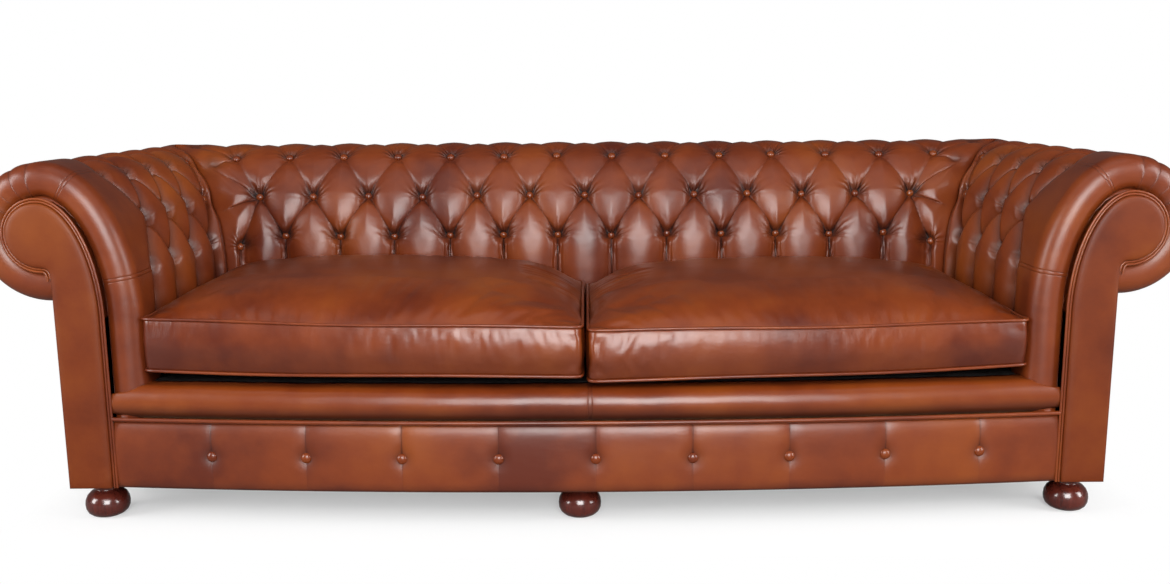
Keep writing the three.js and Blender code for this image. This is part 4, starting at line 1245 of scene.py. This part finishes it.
def panel(name, across, side):
    """The cover of a flat solid that faces outwards along the X axis, 0, or the Y axis, 1."""
    lowest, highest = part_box(name)
    start, end, low, high = lowest[1 - across], highest[1 - across], lowest[2], highest[2]
    inner, outer = lowest[across], highest[across]
    if side < 0:
        inner, outer = outer, inner
    columns = np.linspace(start, end, int((end - start) / panel_step))
    heights = np.concatenate((np.linspace(low, high, 30), [-1, -2, low]))
    made, column, row = net(len(columns), len(heights))
    u, z = columns[column], heights[row]
    behind = z < 0
    z = np.where(z == -1, high, np.where(z == -2, low, z))
    edge = np.minimum(np.minimum(u - start, end - u), np.minimum(z - low, high - z))
    puff = (panel_puff[0] * (1 - np.exp(-edge / panel_puff[1]))
            - panel_dip[0] * np.exp(-edge / panel_dip[1]))
    puff += 0.5 * mm * np.sin(u * 11 + z * 7) * np.sin(u * 5.3 - z * 13) * (edge > 0)
    out = np.where(behind, inner, outer + side * puff)
    x, y = (u, out) if across else (out, u)
    fold = 0.7 * np.exp(-edge / (2.5 * mm))
    cover = drape(made, name + "_cover", x, y, z, fold=fold, pleat=edge)
    settle(cover, facing_leather, replaces=(name,))


panel("left_outside_arm", 0, -1)
panel("right_outside_arm", 0, 1)
panel("outside_back", 1, 1)

# %% [markdown]
# ## Seat platform
# Under the cushions lies a sprung platform covered in black cloth. It shows when a cushion is
# lifted: a flat pad with soft edges and the faint print of its rows of springs.

# %% Platform
platform_rounds = (
    ("up", (0, 0.5, 0.85)), ("top", np.linspace(0, 1, 60)),
    ("down", (0.15, 0.5, 1)), ("under", (0.5, 1)),
)
platform_gap, platform_edge = 61.5 * mm, 9 * mm
spring_pitch, spring_print = 0.115, 1.2 * mm
low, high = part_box("seat_platform")
platform_half = high[0]
platform_columns = np.linspace(-platform_half, platform_half, 190)
rounds = [(kind, share) for kind, shares in platform_rounds for share in shares]
made, column, row = net(len(platform_columns), len(rounds))
x = platform_columns[column]
kinds, share = (np.array(part)[row] for part in zip(*rounds))
platform_front = bow(x) + platform_gap
depth = high[1] - platform_front
edge = np.minimum(np.minimum(share * depth, (1 - share) * depth), platform_half - np.abs(x))
soft = platform_edge * np.exp(-edge / (12 * mm))
across, along = (np.cos(place * 2 * math.pi / spring_pitch) for place in (x, share * depth))
rise = high[2] - platform_edge - low[2]
z = np.where(kinds == "top", high[2] - soft - spring_print * (1 - across * along), low[2])
z = np.where(kinds == "up", low[2] + share * rise, z)
z = np.where(kinds == "down", low[2] + (1 - share) * rise, z)
y = np.where(kinds == "top", platform_front + share * depth, platform_front)
y = np.where(kinds == "down", high[1], np.where(kinds == "under", high[1] - share * depth, y))
platform = drape(made, "platform", x, y, z)
settle(platform, black_cloth, replaces=("seat_platform",))

# %% [markdown]
# ## Seat cushions
# Two loose cushions fill the seat. Each has a top and a bottom panel joined by a border, with a
# welt at both seams, and it is crowned: full in the middle and drawn in along the seams. The top is
# a net squeezed to the plan with round corners, its edge is drawn down to make the border, and the
# bottom panel is a second net that is merged on. The seams sag a little towards the middle of the
# seat, where people sit down most.

# %% Cushion sizes
cushion_inner = 7.5 * mm
cushion_outer = 913 * mm
cushion_half = (cushion_outer - cushion_inner) / 2
cushion_middle = (cushion_inner + cushion_outer) / 2
cushion_half_depth = 290 * mm
cushion_back = 601.7 * mm
cushion_corner = 16 * mm
cushion_flare, flare_length = 13 * mm, 80 * mm
cushion_bow, cushion_bow_half = 70 * mm, 915 * mm
cushion_rear_drop = 20 * mm
seam_top, seam_bottom = 420 * mm, 318 * mm
platform_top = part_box("seat_platform")[1][2]
crown = 67 * mm


def cushion_front(x):
    """How far the front edge lies behind the facings' front, negative where it bows out."""
    return 20 * mm - cushion_bow * (1 - (np.abs(x) / cushion_bow_half) ** 2) + 10.3 * mm


def cushion_plan(s, t, side):
    """Place in plan of a point of a net from -1 to 1, with the corners rounded."""
    half_x, half_y = cushion_half, cushion_half_depth
    a = np.clip((np.abs(s) * half_x - half_x + cushion_corner) / cushion_corner, 0, 1)
    b = np.clip((np.abs(t) * half_y - half_y + cushion_corner) / cushion_corner, 0, 1)
    s = s + np.sign(s) * (a * np.sqrt(1 - b * b / 2) - a) * cushion_corner / half_x
    t = t + np.sign(t) * (b * np.sqrt(1 - a * a / 2) - b) * cushion_corner / half_y
    x = cushion_middle + s * half_x
    near, far = cushion_front(x), cushion_back
    y = near + (t + 1) / 2 * (far - near)
    flare = cushion_flare * (1 - ease(y / flare_length)) * np.clip((1 + s) / 2, 0, 1) ** 6
    return side * (x + flare), front + y


def seam_heights(s, t, side):
    """Heights of the top and of the bottom seam; s runs from the middle of the seat to the arm."""
    inner_rear = np.exp(-((1 + s) / 0.22) ** 2) * ease((t + 0.2) / 1.1)
    fuller = 0.5 - 0.5 * side
    top = seam_top + 5 * mm * ease((t + 1) / 0.8) - cushion_rear_drop * inner_rear
    top = top + 1.5 * mm * np.sin(s * 5 + t * 2)
    bottom = seam_bottom + 5 * mm * s + 1.5 * mm * np.sin(s * 4 - t * 3)
    return top + fuller * (11 + 4 * s) * mm, bottom + (2 + fuller * (5 - 5 * s)) * mm


def fullness(s, t):
    across = 1 - 0.8 * np.abs(s) ** 6 - 0.2 * s ** 2
    along = 1 - 0.85 * np.abs(t) ** np.where(t < 0, 5, 9) - 0.15 * t ** 2
    return across * along


def cushion_net(count_x, count_y, side, top):
    made, column, row = net(count_x, count_y)
    s, t = 2 * column / (count_x - 1) - 1, 2 * row / (count_y - 1) - 1
    x, y = cushion_plan(s, t, side)
    high, low = seam_heights(s, t, side)
    under = np.maximum(low - platform_top - 2.5 * mm, 0)
    z = high + crown * fullness(s, t) if top else low - under * fullness(s, t)
    move(made, x, y, z)
    return made


# %% [markdown]
# The border between the two seams is drawn down from the top's edge in steps. Each point goes its
# own share of the way to the seam below, because neither seam is level. Stuffing swells the border.

# %% Cushion shapes
border_steps = 14
cushion_counts = (150, 100)


def seat_cushion(name, side):
    made = cushion_net(*cushion_counts, side, True)
    edges = [edge for edge in made.edges if edge.is_boundary]
    under = cushion_net(*cushion_counts, side, False)
    drop = {}
    for vert, below in zip(made.verts, under.verts):
        drop[vert.index] = (below.co - vert.co) / border_steps
    layer = made.verts.layers.int.new("above")
    for vert in made.verts:
        vert[layer] = vert.index
    for _ in range(border_steps):
        pushed = bmesh.ops.extrude_edge_only(made, edges=edges)["geom"]
        edges = [item for item in pushed if isinstance(item, bmesh.types.BMEdge)]
        for vert in [item for item in pushed if isinstance(item, bmesh.types.BMVert)]:
            vert.co += drop[vert[layer]]
    extra_mesh = bpy.data.meshes.new("under")
    under.to_mesh(extra_mesh)
    under.free()
    made.from_mesh(extra_mesh)
    bpy.data.meshes.remove(extra_mesh)
    close_up(made)
    piece = to_piece(made, name)
    spots = read(piece.data.vertices, "co", 3)
    s = side * (spots[:, 0] - side * cushion_middle) / cushion_half
    t = np.clip((spots[:, 1] - (front + cushion_half_depth)) / (300 * mm), -1, 1)
    high, low = seam_heights(s, t, side)
    return piece, spots, s, (high - spots[:, 2]) / (high - low)


def puff_border(spots, share, side):
    """Swells the border between its two seams, away from the cushion's middle."""
    on_border = (share > 0.0) & (share < 1.0)
    middle = np.array((side * cushion_middle, front + cushion_half_depth))
    away = spots[:, :2] - middle
    lean = np.sign(away) * np.abs(away / np.array((cushion_half, cushion_half_depth))) ** 12
    lean /= np.maximum(np.hypot(lean[:, 0], lean[:, 1]), 1e-9)[:, None]
    rounded = np.sin(np.clip(share, 0, 1) * math.pi) ** 0.7 * on_border
    outer, rear = lean[:, 0] * side > 0, lean[:, 1] > 0
    spots[:, 0] += lean[:, 0] * rounded * np.where(outer, 3, 5) * mm
    spots[:, 1] += lean[:, 1] * rounded * np.where(rear, 4, 9) * mm


# %% [markdown]
# The stuffing presses the leather out, and the seams hold it. Blender's cloth does that: each
# cushion's cover is made a little larger than the form, pinned along its seams, and blown up by a
# soft pressure with no gravity. The cover then puckers where it is held, as stuffed leather does.
# It would swell much further than a filled cushion, so how far a point may move is capped. Of the
# broad swelling a small share is kept, since the crown was measured, and the puckers stay.

# %% Cloth for the cushions
cloth_frames = 20
pressure, oversize = 4, 0.05
move_cap = 26 * mm
swelling_kept = 0.15


def spread(values, pairs, rounds):
    """Evens values out over neighbouring vertices."""
    count = np.bincount(pairs.ravel(), minlength=len(values))[:, None]
    for _ in range(rounds):
        total = np.zeros_like(values)
        for part in range(values.shape[1]):
            total[:, part] = (np.bincount(pairs[:, 0], values[pairs[:, 1], part], len(values))
                              + np.bincount(pairs[:, 1], values[pairs[:, 0], part], len(values)))
        values = 0.4 * values + 0.6 * total / count
    return values


def blown_up(piece, pinned):
    """Where the vertices go when the cover is pressed out by its stuffing."""
    group = piece.vertex_groups.new(name="seams")
    group.add([int(i) for i in np.nonzero(pinned)[0]], 1.0, "REPLACE")
    cloth = piece.modifiers.new("stuffing", "CLOTH")
    settings = cloth.settings
    settings.quality = 5
    settings.mass = 0.3
    settings.tension_stiffness = settings.compression_stiffness = 12
    settings.shear_stiffness = 4
    settings.bending_stiffness = 0.15
    settings.use_pressure = True
    settings.uniform_pressure_force = pressure
    settings.shrink_min = settings.shrink_max = -oversize
    settings.vertex_group_mass = "seams"
    settings.effector_weights.gravity = 0
    cloth.collision_settings.use_collision = False
    cloth.point_cache.frame_end = cloth_frames
    scene = bpy.context.scene
    for step in range(1, cloth_frames + 1):
        scene.frame_set(step)
    evaluated = piece.evaluated_get(bpy.context.evaluated_depsgraph_get())
    moved = read(evaluated.data.vertices, "co", 3)
    piece.modifiers.remove(cloth)
    piece.vertex_groups.remove(group)
    scene.frame_set(1)
    return moved


def stuff(piece, spots, seam_gap, s, share):
    """Adds a little of the cloth's broad swelling, and its puckers in patches."""
    pushed = blown_up(piece, seam_gap < 0.5 * mm) - spots
    far = np.linalg.norm(pushed, axis=1, keepdims=True)
    pushed *= np.minimum(1, move_cap / np.maximum(far, 1e-9))
    broad = spread(pushed, read(piece.data.edges, "vertices", 2, int), 60)
    puckers = pushed - broad
    on_border = ease(share / 0.06) * ease((1.06 - share) / 0.06)
    patchy = np.sin(9.7 * spots[:, 0] + 1.3) * np.sin(4.1 * spots[:, 0] - 0.4)
    patchy = ease(0.5 + 0.9 * patchy)
    inner = np.exp(-((1 + s) / 0.28) ** 2)
    on_front = np.clip(0.08 + 0.2 * patchy + 0.42 * inner, 0, 0.85)
    on_panels = 0.35 + 0.3 * inner + 0.2 * patchy
    puckers *= np.where(on_border > 0.5, on_front, on_panels)[:, None]
    print(piece.name, "cloth moved up to", round(float(far.max()), 4), "puckers up to",
          round(float(np.linalg.norm(puckers, axis=1).max()), 4))
    return spots + broad * swelling_kept + puckers


# %% [markdown]
# Now the two cushions are made, and a closed tube along each seam is its welt. Each welt follows
# the same plan and the same seam heights as the leather does, a little outside of it.

# %% Making the cushions
cushion_leather = leather("cushion_leather", (0.3, 0.1, 0.9), gathered=True, roughness=0.26)
cushion_cord, cord_proud = 3.3 * mm, 2 * mm
seam_unit = 100 * mm


def seam_round():
    """Points round a cushion's edge, in shares of its half width and half depth."""
    turns = [(s, -1) for s in np.linspace(-1, 1, 90)]
    turns += [(1, t) for t in np.linspace(-1, 1, 60)[1:]]
    turns += [(s, 1) for s in np.linspace(1, -1, 90)[1:]]
    turns += [(-1, t) for t in np.linspace(1, -1, 60)[1:-1]]
    return np.array(turns, dtype=float).T


for name, side in sides:
    piece, spots, s, share = seat_cushion(f"{name}_cushion", side)
    puff_border(spots, share, side)
    piece.data.vertices.foreach_set("co", spots.ravel())
    seam_gap = np.minimum(np.abs(share), np.abs(share - 1)) * seam_unit
    spots = stuff(piece, spots, seam_gap, s, share)
    piece.data.vertices.foreach_set("co", spots.ravel())
    # Painted shade: the cushion's border darkens towards its bottom seam.
    painted_shade = 0.3 * ease((share - 0.3) / 0.4) * (share < 1.05)
    for key, numbers in (("seam", np.abs(share) * seam_unit), ("pit", painted_shade)):
        layer = piece.data.attributes.new(key, "FLOAT", "POINT")
        layer.data.foreach_set("value", np.asarray(numbers, dtype=np.float32))
    body = f"{name}_cushion"
    settle(piece, cushion_leather, body, (f"{name}_seat_cushion",))
    s, t = seam_round()
    x, y = cushion_plan(s, t, side)
    proud_x = np.sign(x - side * cushion_middle) * cord_proud * (np.abs(s) > 0.99)
    proud_y = np.sign(t) * cord_proud * (np.abs(t) > 0.99)
    for level, height in zip(("top", "bottom"), seam_heights(s, t, side)):
        line = list(zip(x + proud_x, y + proud_y, height))
        welt = tube(f"{body}_{level}_cord", [line], cushion_cord, closed=True)
        settle(welt, welt_leather, body, (f"{body}_{level}_welt",))

# %% [markdown]
# ## Feet
# The sofa stands on six turned bun feet. A turner cuts a profile on a lathe, so the profile is
# drawn once as a few vertices and spun round the foot's axis.

# %% Feet
foot_height = 74.6
foot_profile = (
    (0.0, 0.0), (27, 0), (29.5, 0.8), (35, 3.5), (41, 9), (44.6, 17), (45.5, 26), (44.4, 35),
    (40.5, 44), (34, 51), (27, 55.4), (24.4, 57), (23.9, 59), (23.9, 62.5), (25, 64.4),
    (32.4, 65.4), (33.4, 66.6), (33.5, 69), (33.5, foot_height), (0.0, foot_height),
)

for spot in ("front_left", "front_centre", "front_right", "rear_left", "rear_centre", "rear_right"):
    low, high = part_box(f"{spot}_foot")
    centre = Vector(((low[0] + high[0]) / 2, (low[1] + high[1]) / 2, 0))
    stretch = high[2] / (foot_height * mm)
    made = bmesh.new()
    line = [made.verts.new(centre + Vector((radius * mm, 0, height * mm * stretch)))
            for radius, height in foot_profile]
    for first, second in zip(line, line[1:]):
        made.edges.new((first, second))
    bmesh.ops.spin(made, geom=made.verts[:] + made.edges[:], cent=centre, axis=(0, 0, 1),
                   angle=2 * math.pi, steps=48, use_merge=True)
    close_up(made)
    foot = to_piece(made, f"{spot}_turned_foot")
    settle(foot, polish, replaces=(f"{spot}_foot",))
